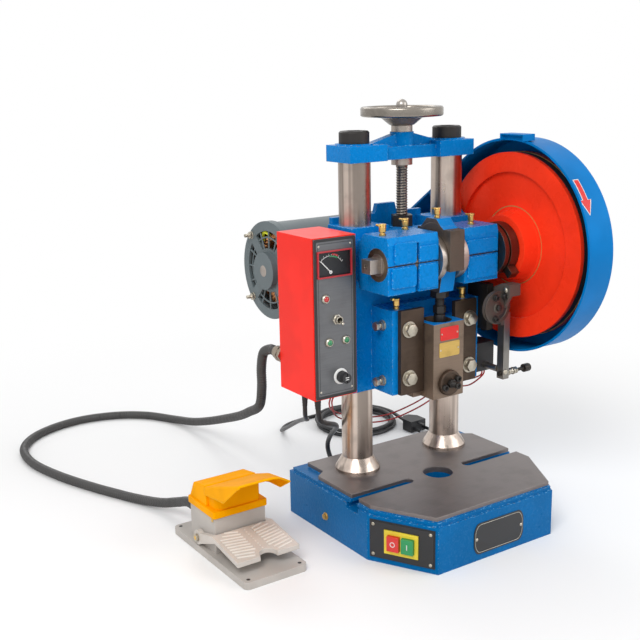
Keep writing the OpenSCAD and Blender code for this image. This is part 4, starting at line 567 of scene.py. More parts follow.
def hexagon(width, angle):
    """Radius of a hexagon's wall: half the width over the cosine of the angle from the flat."""
    return width / 2 / np.cos((angle + math.pi / 6) % (math.pi / 3) - math.pi / 6)


def hex_head(width, height, centre, axis="z", flip=False, bore=0.0):
    """A hexagon head whose outer corners are chamfered by a cone."""
    steps = 48
    a = full_turn(steps)
    wall = hexagon(width, a)
    ring = np.full(steps, width / 2 * 0.94)
    drop = (wall - ring) * 0.5
    inner = np.full(steps, bore)
    r = np.stack([inner, wall, wall, ring, inner])
    h = np.stack([0 * a, 0 * a, height - drop, 0 * a + height, 0 * a + height])
    return round_shape(r, -h if flip else h, a, centre, axis, bore > 0)


def socket_screw(radius, height, centre, axis="z", sign=1, socket=0.52):
    """A cap screw: a knurled wall, a rounded rim and a hexagon socket half as deep as the head."""
    steps, knurls = 72, 36
    a = full_turn(steps)
    flat = hexagon(2 * radius * socket, a)
    knurl = radius - 0.012 * radius * (1 + np.cos(a * knurls))
    full, none = np.full(steps, radius * 0.9), np.zeros(steps)
    r = np.stack([none, knurl, knurl, full, flat, flat, none])
    h = np.repeat(np.array([0, 0, 0.88, 1, 1, 0.45, 0.45])[:, None], steps, 1) * height * sign
    return round_shape(r, h, a, centre, axis)


def thread(radius, low, high, pitch, depth, centre, steps=32):
    """A screw thread: the radius falls by depth along a triangle wave of height over pitch less
    the turn's share, fading out at both ends."""
    a = full_turn(steps)[None]
    h = np.linspace(low, high, int((high - low) / pitch * 8) + 1)[:, None]
    saw = np.abs(((h / pitch - a / (2 * math.pi)) % 1) * 2 - 1)
    fade = np.clip(np.minimum(h - low, high - h) / pitch, 0, 1)
    r = radius - depth * saw * fade
    points = np.stack([r * np.cos(a), r * np.sin(a), np.broadcast_to(h, r.shape)], -1)
    ends = [np.broadcast_to(np.array([0.0, 0.0, z]), (1, steps, 3)) for z in (low, high)]
    points = np.concatenate([ends[0], points, ends[1]])
    return sheet_of(points + np.asarray(centre, float), False, True)


def outlines(levels, axis):
    """Flat outlines, each at its own distance along an axis, as rows of points."""
    return np.stack([along(axis, p[:, 0], p[:, 1], np.full(len(p), float(h))) for p, h in levels])


def slab(outline, low, high, axis="z"):
    """A flat outline carried along an axis from low to high. The outline's two numbers are the
    next two axes in turn."""
    p = np.asarray(outline, float)
    n = len(p)
    points, faces = sheet_of(outlines([(p, low), (p, high)], axis), False, True)
    return points, faces + [list(range(n))[::-1], list(range(n, 2 * n))]


def ring_between(outer, inner, low, high, axis="y"):
    """A frame with a hole: the outer and inner outlines at two levels, joined in a closed loop."""
    outer, inner = np.asarray(outer, float), np.asarray(inner, float)
    return sheet_of(outlines([(outer, low), (outer, high), (inner, high), (inner, low)], axis), True, True)


def block(low, high):
    """A box between two corners."""
    return slab([(low[0], low[1]), (high[0], low[1]), (high[0], high[1]), (low[0], high[1])],
                low[2], high[2])


def arc_strip(centre, r0, r1, a0, a1, low, high, steps=24):
    """A flat band between two radii and two angles, carried through a small thickness."""
    a = np.radians(np.linspace(a0, a1, steps))
    rows = [np.stack([centre[0] + r * np.cos(a), np.full(steps, y), centre[1] + r * np.sin(a)], -1)
            for r, y in ((r0, low), (r1, low), (r1, high), (r0, high))]
    points, faces = sheet_of(np.stack(rows), True, False)
    ends = [[0, steps, 2 * steps, 3 * steps], [steps - 1, 2 * steps - 1, 3 * steps - 1, 4 * steps - 1]]
    return points, faces + ends


def square_to(path):
    """Two directions square to a path at each point, that turn as little as they can."""
    p = np.asarray(path, float)
    ahead = np.gradient(p, axis=0)
    ahead /= np.linalg.norm(ahead, axis=1)[:, None]
    side = np.zeros_like(p)
    n = np.cross(ahead[0], (0.0, 0.0, 1.0) if abs(ahead[0][2]) < 0.9 else (1.0, 0.0, 0.0))
    for i, t in enumerate(ahead):
        n = n - t * (n @ t)
        n /= np.linalg.norm(n)
        side[i] = n
    return side, np.cross(ahead, side)


def tube(path, radius, sides=12):
    """Rings of a radius, which may change, square to a path, with a centre point at each end."""
    p = np.asarray(path, float)
    side, up = square_to(p)
    a = full_turn(sides)
    r = np.broadcast_to(np.asarray(radius, float), (len(p),))[:, None, None]
    rings = p[:, None] + r * (np.cos(a)[None, :, None] * side[:, None]
                              + np.sin(a)[None, :, None] * up[:, None])
    ends = [np.repeat(p[i][None, None], sides, 1) for i in (0, -1)]
    return sheet_of(np.concatenate([ends[0], rings, ends[1]]), False, True)


def moved(shape, shift=(0, 0, 0), turn=None):
    """A shape turned by a matrix, then shifted."""
    points, faces = shape
    points = np.asarray(points) @ np.array(turn).T if turn is not None else points
    return points + np.asarray(shift, float), faces


def piece(name, shapes, material, body, bevel=0.0, replaces=(), crease=35, segments=2):
    """Joins shapes in millimetres into one piece that rides on a body."""
    shapes = shapes if isinstance(shapes, list) else [shapes]
    points, faces, start = [], [], 0
    for p, f in shapes:
        points.append(np.asarray(p, float) * MM)
        faces += [[k + start for k in face] for face in f]
        start += len(p)
    mesh = bpy.data.meshes.new(name)
    mesh.from_pydata(np.concatenate(points).tolist(), [], faces)
    work = bmesh.new()
    work.from_mesh(mesh)
    bmesh.ops.remove_doubles(work, verts=work.verts, dist=2e-6)
    bmesh.ops.dissolve_degenerate(work, edges=work.edges, dist=1e-6)
    bmesh.ops.recalc_face_normals(work, faces=work.faces)
    work.to_mesh(mesh)
    work.free()
    mesh.polygons.foreach_set("use_smooth", np.ones(len(mesh.polygons), bool))
    mesh.set_sharp_from_angle(angle=math.radians(crease))
    mesh.materials.append(material)
    made = bpy.data.objects.new(name, mesh)
    bpy.context.scene.collection.objects.link(made)
    if bevel:
        rim = made.modifiers.new("rim", "BEVEL")
        rim.width, rim.segments, rim.limit_method = bevel * MM, segments, "ANGLE"
        rim.angle_limit = math.radians(35)
        rim.harden_normals = True
    if replaces:
        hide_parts(*replaces)
    if body:
        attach(made, body)
    return made


# Cords
CONDUIT_CORE, CONDUIT_RIB, RIB_PITCH = 6.6, 1.3, 4.2
MAINS_R, CABLE_R, WIRE_R = 3.5, 4.0, 1.25
CURVE_STEPS, TAIL_STEPS = 8, 6


def through(points, share):
    """A Catmull-Rom curve through points, share steps between each two, as part.scad has it."""
    p = np.asarray(points, float)
    q = np.concatenate([p[:1], p, p[-1:]])
    t = (np.arange(share) / share)[None, :, None]
    a, b, c, d = (q[i:len(p) - 1 + i][:, None] for i in range(4))
    curve = 0.5 * (2 * b + (c - a) * t + (2 * a - 5 * b + 4 * c - d) * t ** 2
                   + (3 * b - a - 3 * c + d) * t ** 3)
    return np.concatenate([curve.reshape(-1, 3), p[-1:]])


def evenly(path, step):
    """A path's points set anew at about equal steps along it."""
    s = np.concatenate([[0], np.cumsum(np.linalg.norm(np.diff(path, axis=0), axis=1))])
    at = np.linspace(0, s[-1], max(2, int(round(s[-1] / step)) + 1))
    return np.stack([np.interp(at, s, path[:, k]) for k in range(3)], -1)


def on_floor(path, radius):
    """A path that stays at least its radius above the floor."""
    path[:, 2] = np.maximum(path[:, 2], radius)
    return path


GLAND_END = np.array([-197.0, 146.3, 279.0])
FERRULE_END = np.array([-325.0, 173.0, 45.0])
conduit_route = through([GLAND_END, GLAND_END + (0, 8, 0), GLAND_END + (0, 16, 0),
                         GLAND_END + (1, 40, -11), GLAND_END + (3, 52, -39),
                         (-190, 206, 205), (-179, 235, 165), (-165, 295, 135), (-148, 361, 106),
                         (-131, 450, 72), (-121, 533, 42), (-120, 605, 20), (-130, 670, 9),
                         (-164, 730, 8), (-215, 768, 8), (-280, 784, 8), (-345, 772, 8),
                         (-400, 738, 8), (-434, 685, 8), (-442, 610, 8), (-425, 525, 8),
                         (-395, 440, 8), (-362, 365, 8), (-336, 300, 14), (-326, 250, 30),
                         (-325, 215, 43), FERRULE_END + (0, 16, 0), FERRULE_END], CURVE_STEPS)
COIL = dict(x=163.0, y=446.0, r=82.0, pitch=8.8, spiral=1.375, climb=0.5, steps=24)


def coil_points():
    """The lead's coil: the radius shrinks by the pitch each turn, stays while the lead climbs one
    pitch in half a turn, and grows again on top."""
    c = COIL
    k = np.arange(int(c["steps"] * (2 * c["spiral"] + c["climb"])) + 1)
    turn = k / c["steps"]
    back = turn - c["spiral"] - c["climb"]
    inward = np.minimum(np.minimum(turn, c["spiral"]), c["spiral"] - np.maximum(back, 0))
    r = c["r"] - c["pitch"] * inward
    up = (1 - np.cos(np.pi * np.clip((turn - c["spiral"]) / c["climb"], 0, 1))) / 2
    a = np.radians(90 - 360 * turn)
    return np.stack([c["x"] + r * np.cos(a), c["y"] + r * np.sin(a), MAINS_R + c["pitch"] * up], -1)


coil = coil_points()
coil = np.concatenate([[coil[0] - (7, 0, 0)], coil, [coil[-1] - (0, 7, 0)]])
PLUG_END = np.array([COIL["x"] + COIL["r"] - 9, COIL["y"] - COIL["r"] + 12, 12.0])
MAINS_EXIT = np.array([BOX_X + 20, BOX_Y + 58, BOX_Z])
mains_in = through([MAINS_EXIT, MAINS_EXIT - (0, 0, 7), MAINS_EXIT - (0, 0, 14),
                    MAINS_EXIT + (1, 2, -29), MAINS_EXIT + (7, 11, -45), (-164, 118, 172),
                    (-142, 150, 158), (-114, 200, 138), (-86, 262, 112), (-58, 326, 82),
                    (-34, 384, 54), (-8, 446, 25), (14, 486, 8), (42, 514, 3.5), (84, 525, 3.5),
                    (124, 528, 3.5), coil[0] - (7, 0, 0), coil[0]], CURVE_STEPS)
mains_out = through([coil[-1], coil[-1] - (0, 7, 0), (coil[-1] + PLUG_END) / 2,
                     PLUG_END + (0, 7, 0), PLUG_END], TAIL_STEPS)
mains_route = np.concatenate([mains_in[:-1], coil, mains_out[1:]])
CABLE_EXIT = np.array([BOX_X + 27, BOX_Y + 34, BOX_Z])
CABLE_END = np.array([-50.0, 171.0, 40.0])
cable_route = through([CABLE_EXIT, CABLE_EXIT - (0, 0, 8), CABLE_EXIT - (0, 0, 16),
                       CABLE_EXIT + (2, 2, -30), CABLE_EXIT + (11, 12, -48), (-150, 90, 171),
                       (-129, 106, 160), (-104, 128, 147), (-82, 156, 130), (-64, 190, 110),
                       (-54, 218, 88), (-51, 229, 68), (-50, 221, 48), CABLE_END + (0, 30, 0),
                       CABLE_END + (0, 8, 0), CABLE_END], CURVE_STEPS)
LEAD_POINTS = np.array([(0, 0, 0), (0, 0, -12), (14, 26, -36), (52, 66, -66), (106, 72, -88),
                        (160, 70, -94), (214, 66, -84), (256, 58, -66), (270, 28, -48),
                        (262, -12, -32)], float)
LEAD_GAP, LEAD_SAG = 5.0, 10.0
LEAD_EXIT, LEAD_END = np.array([BOX_X + 55, BOX_Y + 40, BOX_Z]), np.array([115.5, 32, 226.0])


def solenoid_route(k):
    """The first wire's route, and the second's: one gap further right, and lower from the fourth
    point on."""
    shift = np.array([LEAD_GAP * k, 0, 0])
    sag = np.zeros_like(LEAD_POINTS)
    sag[3:, 2] = -LEAD_SAG * k
    start, end = LEAD_EXIT + shift, LEAD_END + shift
    return through(np.concatenate([start + LEAD_POINTS + sag, [end - (0, 0, 14), end]]), CURVE_STEPS)


def lay_conduit():
    """A tube whose radius follows a rounded rib wave along the route."""
    path = on_floor(evenly(conduit_route, 1.0), CONDUIT_CORE + CONDUIT_RIB)
    rib = 0.5 - 0.5 * np.cos(2 * np.pi * np.arange(len(path)) / RIB_PITCH)
    hose = piece("ribbed_conduit", tube(path, CONDUIT_CORE + CONDUIT_RIB * rib ** 0.6, 20), conduit_grey,
                 None, replaces=("foot_conduit",), crease=80)
    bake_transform(hose)


def lay_mains_lead():
    """A tube along the drop, the coil and the end at the plug."""
    path = on_floor(evenly(mains_route, 3.0), MAINS_R)
    lead = piece("mains_cord", tube(path, MAINS_R, 14), lead_black, None,
                 replaces=("mains_lead", "mains_coil"), crease=80)
    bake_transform(lead)


def lay_switch_cable():
    """A tube along the route from the box to the base."""
    path = evenly(cable_route, 3.0)
    cable = piece("switch_cord", tube(path, CABLE_R, 14), lead_black, None,
                  replaces=("switch_cable",), crease=80)
    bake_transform(cable)


def lay_solenoid_wires():
    """Two thin tubes that hang side by side."""
    for k in (0, 1):
        route = solenoid_route(k)
        path = evenly(route, 2.5)
        wire = piece("solenoid_wire_%d" % (k + 1), tube(path, WIRE_R, 8), wire_red, "head",
                     replaces=("solenoid_leads",), crease=80)
        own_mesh(wire)


# Pieces of the machine
def lift_parts():
    """The handwheel as one turned profile, its threaded screw, and the bridge's cap screws."""
    axis = (0, COLUMN_Y, 0)
    profile = [(9.02, 609.1), (16, 609.1), (19, 610.2), (31, 620.1), (44, 621.6), (52, 622.3),
               (60, 622.6), (62, 624.5), (62, 634.6), (60.2, 637), (53.4, 637), (51.6, 635.6),
               (50.6, 632), (48.6, 627.8), (42, 625.2), (28, 623.2), (20, 622.6), (17.4, 624.6),
               (16.4, 628.6), (14.6, 630), (9.02, 630)]
    piece("hand_rim", turned(rounded(profile, 1.0, 3), axis, steps=96, loop=True),
          wheel_steel, "handwheel_and_screw", replaces=("handwheel",), crease=50)
    low, neck, top = 350.2, 549, 630
    shank = turned([(0, neck - 1), (8.6, neck - 1), (9, neck), (9, top - 0.2), (5, top), (5, top + 8),
                    (0, top + 8)], axis, steps=40)
    piece("lift_thread", [thread(9, low, neck, LIFT_PITCH, 1.5, axis), shank], thread_steel,
          "handwheel_and_screw", replaces=("lift_screw",), crease=60)
    screws = [socket_screw(22.4, 17.6, (s * COLUMN_X, COLUMN_Y, BRIDGE_TOP)) for s in (-1, 1)]
    shafts = [pin(15, 523, BRIDGE_TOP, (s * COLUMN_X, COLUMN_Y, 0), steps=32) for s in (-1, 1)]
    piece("bridge_cap_screws", screws + shafts, black_steel, "base", replaces=("bridge_screws",),
          crease=40)


def oil_cup(x, y, z, scale=1.0):
    """A brass oiler: hexagon foot, short neck, straight barrel, a sprung lid with a folded rim and
    a lip curled over at one side."""
    s = scale
    wall = [(0, -5), (3.6, -5), (3.6, 3.6), (3.5, 4.4), (4.9, 5.2), (5.1, 6), (5.1, 13.2), (4.8, 13.5),
            (4.8, 13.9), (5.6, 14.1), (5.7, 14.8), (5.7, 15.9), (5.1, 16.7), (3.6, 16.9), (0, 17)]
    barrel = rounded(wall, 0.35, 3) * s
    barrel[np.abs(barrel[:, 0]) < 0.2, 0] = 0
    across = np.stack([np.full(5, -7.6 * s), np.linspace(-3, 3, 5) * s, np.full(5, 15.6 * s)], -1)
    lip = slab(oblong(-7.8 * s, -2.4 * s, -3.4 * s, 2.4 * s, 0.8 * s), 15.0 * s, 16.6 * s)
    return [moved(shape, (x, y, z)) for shape in
            (turned(barrel, (0, 0, 0), steps=32), hex_head(8.6 * s, 3.0 * s, (0, 0, 0)),
             tube(across, 1.9 * s, 12), lip)]


def oilers():
    """The head's five oil cups, and a smaller one on the rod's cap."""
    shapes = [shape for place in OIL_CUPS for shape in oil_cup(*place)]
    piece("oilers", shapes, brass, "head", replaces=("oil_cups",), crease=40)
    piece("rod_oiler", oil_cup(-5, 1, 479.8, 0.9), brass, "rod", crease=40)


def gib_clamp_bolts():
    """Four hexagon bolts on a washer and a spring washer."""
    washer_side = [(4, 0), (12.2, 0), (12.6, -0.5), (12.2, -1.8), (9, -2.1), (4, -2.1)]
    spring_side = [(4, -2), (8.9, -2), (9.1, -2.6), (9.1, -3.6), (8.7, -4), (4, -4)]
    shapes = []
    for x in (-GIB_X, GIB_X):
        for z in GIB_BOLT_Z:
            at = (x, GIB_FACE, z)
            shapes.append(turned(washer_side, at, "y", 40, True))
            shapes.append(turned(spring_side, at, "y", 32, True))
            shapes.append(hex_head(17, 5.6, shifted(at, "y", -4), "y", True))
            shapes.append(dome(shifted(at, "y", -9.4), 4.6, 0.6, "y", -1))
            shapes.append(pin(4.4, 0, 20, at, "y", 20))
    piece("gib_clamp_bolts", shapes, zinc_worn, "head", replaces=("gib_bolts",), crease=35)


def head_lock_screws():
    """Set screws with a washer, a lock nut, a ridged thread and a hexagon end. Two face left, and
    four clamp the columns from behind."""
    rear_y = 118
    places = [((-83, 30, z), "x", -1) for z in (240.6, 325.4)]
    places += [((x, rear_y, z), "y", 1) for x in (-COLUMN_X, COLUMN_X) for z in (250, 300)]
    shapes = []
    for place, axis, s in places:
        shapes.append(pin(8.2, 0, s * 1.1, place, axis, 28))
        shapes.append(hex_head(13, 4.6, shifted(place, axis, s * 1.1), axis, s < 0))
        side = ridges(3.9, 0.35, s * 5, s * 0.45, 12)
        shapes.append(turned([(0, s * 5)] + side + [(0, s * 10)], place, axis, 20))
        shapes.append(hex_head(12.6, 5.2, shifted(place, axis, s * 10), axis, s < 0))
        shapes.append(pin(3.9, -s * 19, 0, place, axis, 16))
    piece("head_lock_screws", shapes, zinc_worn, "head", replaces=("head_set_screws",), crease=35)


def bearing_pads():
    """Cast pads raised on the bearing blocks, with rounded outlines, either side of the slit. Each
    row gives two corners, left and low, right and high, and how far the pad stands out."""
    foot, head = 420.8, 425.2
    pads = ((-105, head, -65.5, 456, 3.0), (-60.5, head, -25, 447.5, 2.2),
            (-110, 391, -65.5, foot, 3.0), (-60.5, 385, -25, foot, 2.2),
            (29, head, 89, 446, 2.6), (31, 387, 88, foot, 2.6))
    shapes = [slab(oblong(z0, x0, z1, x1, 5, 4), BLOCK_FACE - out, BLOCK_FACE + 0.4, "y")
              for x0, z0, x1, z1, out in pads]
    piece("bearing_pads", shapes, head_blue, "head", bevel=1.3, crease=40, segments=3)


def rod_parts():
    """The ball screw, whose ball is an arc of radius 10 under its stem, the rod's bare front and
    the lock nut."""
    axis = (0, 0, 0)
    ball = [(10 * math.sin(a), 299 - 10 * math.cos(a)) for a in np.linspace(0, math.pi * 0.72, 14)]
    collar = rounded([(0, 322), (8.6, 322), (8.6, 336), (0, 336)], 0.6)
    piece("ball_screw", [turned([*ball, (6, 307.5), (6, 311), (0, 311)], axis, steps=32),
                         thread(7.2, 311, 371, 2.5, 0.9, axis, 28), turned(collar, axis),
                         pin(6.8, 371, 401, axis), hex_head(17, 11, (0, 0, 338))],
          black_steel, "rod", replaces=("adjusting_screw",), crease=45)
    piece("rod_front_face", block((-13.6, -38.4, 406), (13.6, -22, 465.7)), pitted_iron, "rod", bevel=0.8)
    piece("rod_jam_nut", hex_head(24, 9.8, (0, 0, 362.1), bore=7.3), black_steel, "rod",
          replaces=("rod_lock_nut",), crease=35)


def ram_plates():
    """Two bare plates on the ram, each with two rivets."""
    rivets = []
    for name, low, high, wide, material in (("ram_plate_red", 300.5, 320.5, 17.5, plate_red),
                                            ("ram_plate_brass", 275, 297.5, 19.5, plate_brass)):
        piece(name, slab(oblong(low, 1 - wide, high, 1 + wide, 2.4), RAM_FACE, RAM_FACE + 0.8, "y"),
              material, "ram", bevel=0.25)
        rivets += [dome((1 + s * (wide - 2.6), RAM_FACE + 0.1, (low + high) / 2), 1.5, 0.7, "y", -1)
                   for s in (-1, 1)]
    piece("plate_rivets", rivets, zinc, "ram", crease=40)


def shank_clamp():
    """The clamp disc with its rim, two socket screws on it, and its bolt with a ridged end."""
    centre = (0, 0, CLAMP_Z)
    disc = rounded([(0, -14.2), (19.4, -14.2), (19.4, -27.2), (18.6, -28), (14.4, -28), (14, -27.7),
                    (0, -27.7)], 0.4, 2)
    disc[np.abs(disc[:, 0]) < 0.25, 0] = 0
    piece("clamp_disc", turned(disc, centre, "y", 56), brown_iron, "ram",
          replaces=("shank_clamp",), crease=40)
    shapes = [socket_screw(5, 5, (s * 12.5, -27.7, CLAMP_Z + s * 5), "y", -1) for s in (-1, 1)]
    shapes.append(pin(5, -14, -28, centre, "y", 20))
    shapes.append(hex_head(12, 5.4, (0, -27.8, CLAMP_Z), "y", True))
    shapes.append(turned([(0, -33)] + ridges(5, 0.5, -33, -0.55, 18) + [(0, -43)], centre, "y", 24))
    shapes.append(socket_screw(5, 3.6, (0, -42.4, CLAMP_Z), "y", -1))
    piece("clamp_screws", shapes, black_steel, "ram", replaces=("shank_screws",), crease=40)


def trip_face():
    """The slotted face of the trip: height over the disc falls by slot_deep where the distance from
    an arc of radius slot_mid is under slot_half. Screws on it, and caps on the lever's pins."""
    steps, front = 180, -37
    slot_mid, slot_half, slot_deep, slot_turn, slot_reach = 16, 3.1, 1.3, -0.74, 0.62
    a = full_turn(steps)
    r = np.concatenate([[0, 6, 7.2, 8, 11], np.linspace(12.2, 19.8, 27), [22, 24.2, 25.2, 25.4, 25.4]])
    grid = np.repeat(r[:, None], steps, 1)
    turn = (a + math.pi) % (2 * math.pi) - math.pi
    past = np.maximum(0, np.abs(turn - slot_turn) - slot_reach)[None] * grid
    sunk = np.clip((slot_half - np.hypot(grid - slot_mid, past)) / 0.5, 0, 1)
    height = np.where(grid < 7, 2.4, np.where(grid < 7.6, 2.2, 1.4)) - slot_deep * sunk
    height[-3:] -= np.array([0.1, 0.5, 1.9])[:, None]
    points = np.stack([TRIP_X + grid * np.cos(a), front - height, TRIP_Z + grid * np.sin(a)], -1)
    back = np.broadcast_to(np.array([TRIP_X, front + 0.5, TRIP_Z]), (1, steps, 3))
    piece("trip_face", sheet_of(np.concatenate([points, back]), False, True), trip_face_steel,
          "trip_lever", crease=40)
    # A black strip on the slot's floor: painted shade in the slot.
    piece("trip_slot_shade", arc_strip((TRIP_X, TRIP_Z), 13.4, 18.6, -74, -8, front - 0.3, front),
          rubber_black, "trip_lever")
    shapes = []
    for dx, dz, size in ((-5, 16, 4.0), (-5, -17, 4.0), (12, 16, 4.4)):
        x, z = TRIP_X + dx, TRIP_Z + dz
        shapes.append(pin(5.8, 0, -1, (x, front - 1.3, z), "y"))
        shapes.append(socket_screw(size, 4.2, (x, front - 2.2, z), "y", -1))
    shapes.append(hex_head(9, 4, (TRIP_X, front - 2.3, TRIP_Z), "y", True))
    piece("trip_face_screws", shapes, black_steel, "trip_lever", crease=40)
    caps = [dome((107, -32, 233), 4.4, 1.8, "y", -1), dome((96, -39, 365), 4.6, 2.4, "x", -1)]
    piece("trip_rivets", caps, zinc_worn, "trip_lever", crease=40)


def adjuster():
    """The trip's adjusting screw: ridged rod, washers, nuts, a coil spring whose centre line is a
    circle of radius 4.4 that moves along X as it turns, and a knurled head."""
    y, z = ADJUSTER_Y, ADJUSTER_Z
    side = [(0, 99.4), (4, 99.4), (4, 102), (2.6, 102)] + ridges(2.6, 0.3, 114, 0.5, 76) + [(0, 152)]
    shapes = [turned(side, (0, y, z), "x", 20), socket_screw(6.5, 12, (152, y, z), "x", 1)]
    piece("adjuster_screw", shapes, trip_steel, "trip_lever", replaces=("lever_adjuster",), crease=40)
    nuts = [hex_head(10, high, (x, y, z), "x") for x, high in ((114, 4), (129, 3.4), (133, 3.4))]
    nuts += [washer(2.7, 5.9, x, x + 0.9, (0, y, z), "x") for x in (118.1, 128.0)]
    piece("adjuster_nuts", nuts, zinc_worn, "trip_lever", crease=40)
    coil_r, coil_step = 4.4, 2.0
    t = np.linspace(0, 4, 97)
    centres = np.stack([119.6 + t * coil_step, y + coil_r * np.cos(2 * np.pi * t),
                        z + coil_r * np.sin(2 * np.pi * t)], -1)
    piece("adjuster_spring", tube(centres, 0.75, 8), spring_bright, "trip_lever", crease=60)


def panel_parts():
    """The panel's gasket and line, its screws, the lamps' rims and lenses, and the toggle's nut."""
    face = PANEL_Y
    outer = oblong(232.6, -203.4, 464.4, -132.6, 4)
    inner = oblong(236.6, -199.4, 460.4, -136.6, 2.6)
    piece("panel_gasket", ring_between(outer, inner, face - 0.7, face + 0.3), rubber_black, "head",
          bevel=0.2)
    thin = ring_between(oblong(239.4, -196.6, 457.6, -139.4, 2), oblong(240, -196, 457, -140, 1.8),
                        face - 0.12, face + 0.1)
    piece("panel_line", thin, rubber_black, "head")
    screws = [dome((x, face, z), 1.7, 0.9, "y", -1, 16) for x in (-195, -141) for z in (243, 454)]
    rim = rounded([(4.3, face - 3.6), (5.2, face - 3.8), (6.6, face - 1.6), (6.8, face), (4.3, face)],
                  0.4, 2)
    rims, lenses = [], []
    for x, z in (RED_LAMP, *GREEN_LAMPS):
        rims.append(turned(rim, (x, 0, z), "y", 28, True))
        rims.append(pin(4.9, face, 50, (x, 0, z), "y", 16))
        lenses.append(dome((x, face - 2.6, z), 4.2, 2.8, "y", -1))
    rims.append(hex_head(13.5, 2.6, (TOGGLE_X, face, TOGGLE_Z), "y", True, 4.3))
    bush = rounded([(4.3, 20.6), (5.8, 20.6), (6, 21.4), (6, face), (4.3, face)], 0.3, 2)
    rims.append(turned(bush, (TOGGLE_X, 0, TOGGLE_Z), "y", 28, True))
    piece("panel_metalwork", rims + screws, zinc, "head", replaces=("panel_fittings",), crease=40)
    piece("lamp_red", lenses[:1], lens_red, "head", crease=60)
    piece("lamps_green", lenses[1:], lens_green, "head", crease=60)


def fuse_holder():
    """A nylon collar, a socket whose radius follows a cosine of 24 ridges round its side, and the
    two bars on the cap."""
    x, z, face = FUSE_X, FUSE_Z, PANEL_Y
    collar = rounded([(8.4, face - 2.4), (11.4, face - 2.0), (12, face), (8.4, face)], 0.5, 3)
    piece("fuse_collar", turned(collar, (x, 0, z), "y", 40, True), white_nylon, "head", crease=40)
    steps = 96
    a = full_turn(steps)
    skirt = 8.3 + 0.22 * np.cos(a * 24)
    rows = [(0, face), (1, face), (1, face - 8.6), (0.9, face - 9.2), (0.74, face - 9.2)]
    grid = np.stack([np.stack([skirt * k * np.cos(a), np.full(steps, y), skirt * k * np.sin(a)], -1)
                     for k, y in rows])
    piece("fuse_socket", moved(sheet_of(grid, False, True), (x, 0, z)), black_plastic, "head", crease=40)
    piece("fuse_mark", [slab(oblong(x - 3, low, x + 3, low + 1, 0.3)[:, ::-1], 11.2, 11.6, "y")
                        for low in (z + 1, z - 2)], white_mark, "fuse_cap")


def meter():
    """The voltmeter's frame and well, and its scale: two white arcs, eleven ticks and two bands."""
    def window(half_z, half_x, r):
        """A rectangle with rounded corners round the meter's middle."""
        return oblong(METER_Z - half_z, METER_X - half_x, METER_Z + half_z, METER_X + half_x, r)
    opening, well = window(17.2, 27.2, 0.8), window(18, 28, 0.8)
    piece("meter_frame", ring_between(window(19.5, 29.5, 1.6), opening, METER_FRONT, PANEL_Y), meter_red,
          "head", bevel=0.5, replaces=("voltmeter",))
    piece("meter_well", [ring_between(well, opening, PANEL_Y, 31), slab(well, DIAL_Y, 52, "y")],
          dial_black, "head")

    def mark(r0, r1, a0, a1, steps=24):
        """A band on the dial about the needle's pivot."""
        return arc_strip(NEEDLE_PIVOT, r0, r1, a0, a1, DIAL_Y - 0.08, DIAL_Y + 0.05, steps)
    marks = [mark(23.0, 23.8, 92, 138), mark(23.0, 23.6, 34, 60)]
    for k in range(11):
        a = 36 + k * 10
        marks.append(mark(23.6, 26.4 if k % 2 == 0 else 25.2, a - 0.6, a + 0.6, 3))
    piece("meter_scale", marks, white_mark, "head")
    piece("meter_scale_green", mark(21.4, 23.4, 56, 96), lens_green, "head")
    piece("meter_scale_red", mark(24.2, 26.6, 60, 84), lens_red, "head")


def on_motor(x, r, a):
    """A point at a radius and an angle from the motor's axis."""
    return x, MOTOR_Y + r * math.cos(a), MOTOR_Z + r * math.sin(a)


def motor_guard():
    """Guard ribs in the end cover's four windows: three that point outwards and one bent along an
    arc. Through studs with washers and nuts stand between the windows."""
    ribs, studs = [], []
    for quarter in (0, 90, 180, 270):
        for k in (-24, 0, 24):
            a = math.radians(quarter + k)
            ribs.append(tube([on_motor(MOTOR_FACE, r, a) for r in (33, 44, 55, 66)], 1.5, 8))
        bow = np.radians(quarter + np.linspace(-38, 38, 13))
        ribs.append(tube([on_motor(MOTOR_FACE, 51, a) for a in bow], 1.4, 8))
        centre = on_motor(0, 69.5, math.radians(quarter + 45))
        side = [(0, -166), (2.9, -166)] + ridges(2.9, 0.3, -174, -0.6, 22) + [(0, -187)]
        studs.append(turned(side, centre, "x", 16))
        studs.append(hex_head(10, 4.6, shifted(centre, "x", -174), "x", True))
        studs.append(pin(6, -174.2, -174.9, centre, "x", 20))
    piece("fan_guard", ribs, motor_grey, "head", crease=50)
    piece("motor_studs", studs, zinc_worn, "head", crease=40)


def motor_inside():
    """The windings: an oval tube round the motor's axis whose middle waves with a sine along the
    axis and a cosine outwards, 36 times a turn. The earth wire and the spindle's cap."""
    a = full_turn(144)
    wave_x, wave_r = -150 + 3.0 * np.sin(a * 36), 52 + 3.2 * np.cos(a * 36)
    u = full_turn(10)[:, None]
    r = wave_r + 9 * np.sin(u)
    grid = np.stack([wave_x + 7 * np.cos(u), MOTOR_Y + r * np.cos(a), MOTOR_Z + r * np.sin(a)], -1)
    piece("motor_windings", sheet_of(grid, True, True), copper, "head", crease=80)
    bow = through([(-166, 205, 446), (-169, 212, 450), (-168, 220, 449), (-166, 226, 443),
                   (-163, 230, 436)], 5)
    piece("motor_earth_wire", tube(bow, 2.6, 10), earth_yellow, "head", crease=80)
    cap = [(0, -184.3), (8.6, -184.3), (9.2, -183.6), (0, -183.4)]
    piece("motor_shaft_cap", turned(cap, (0, MOTOR_Y, MOTOR_Z), "x", 28), shaft_steel, "motor_rotor",
          crease=50)


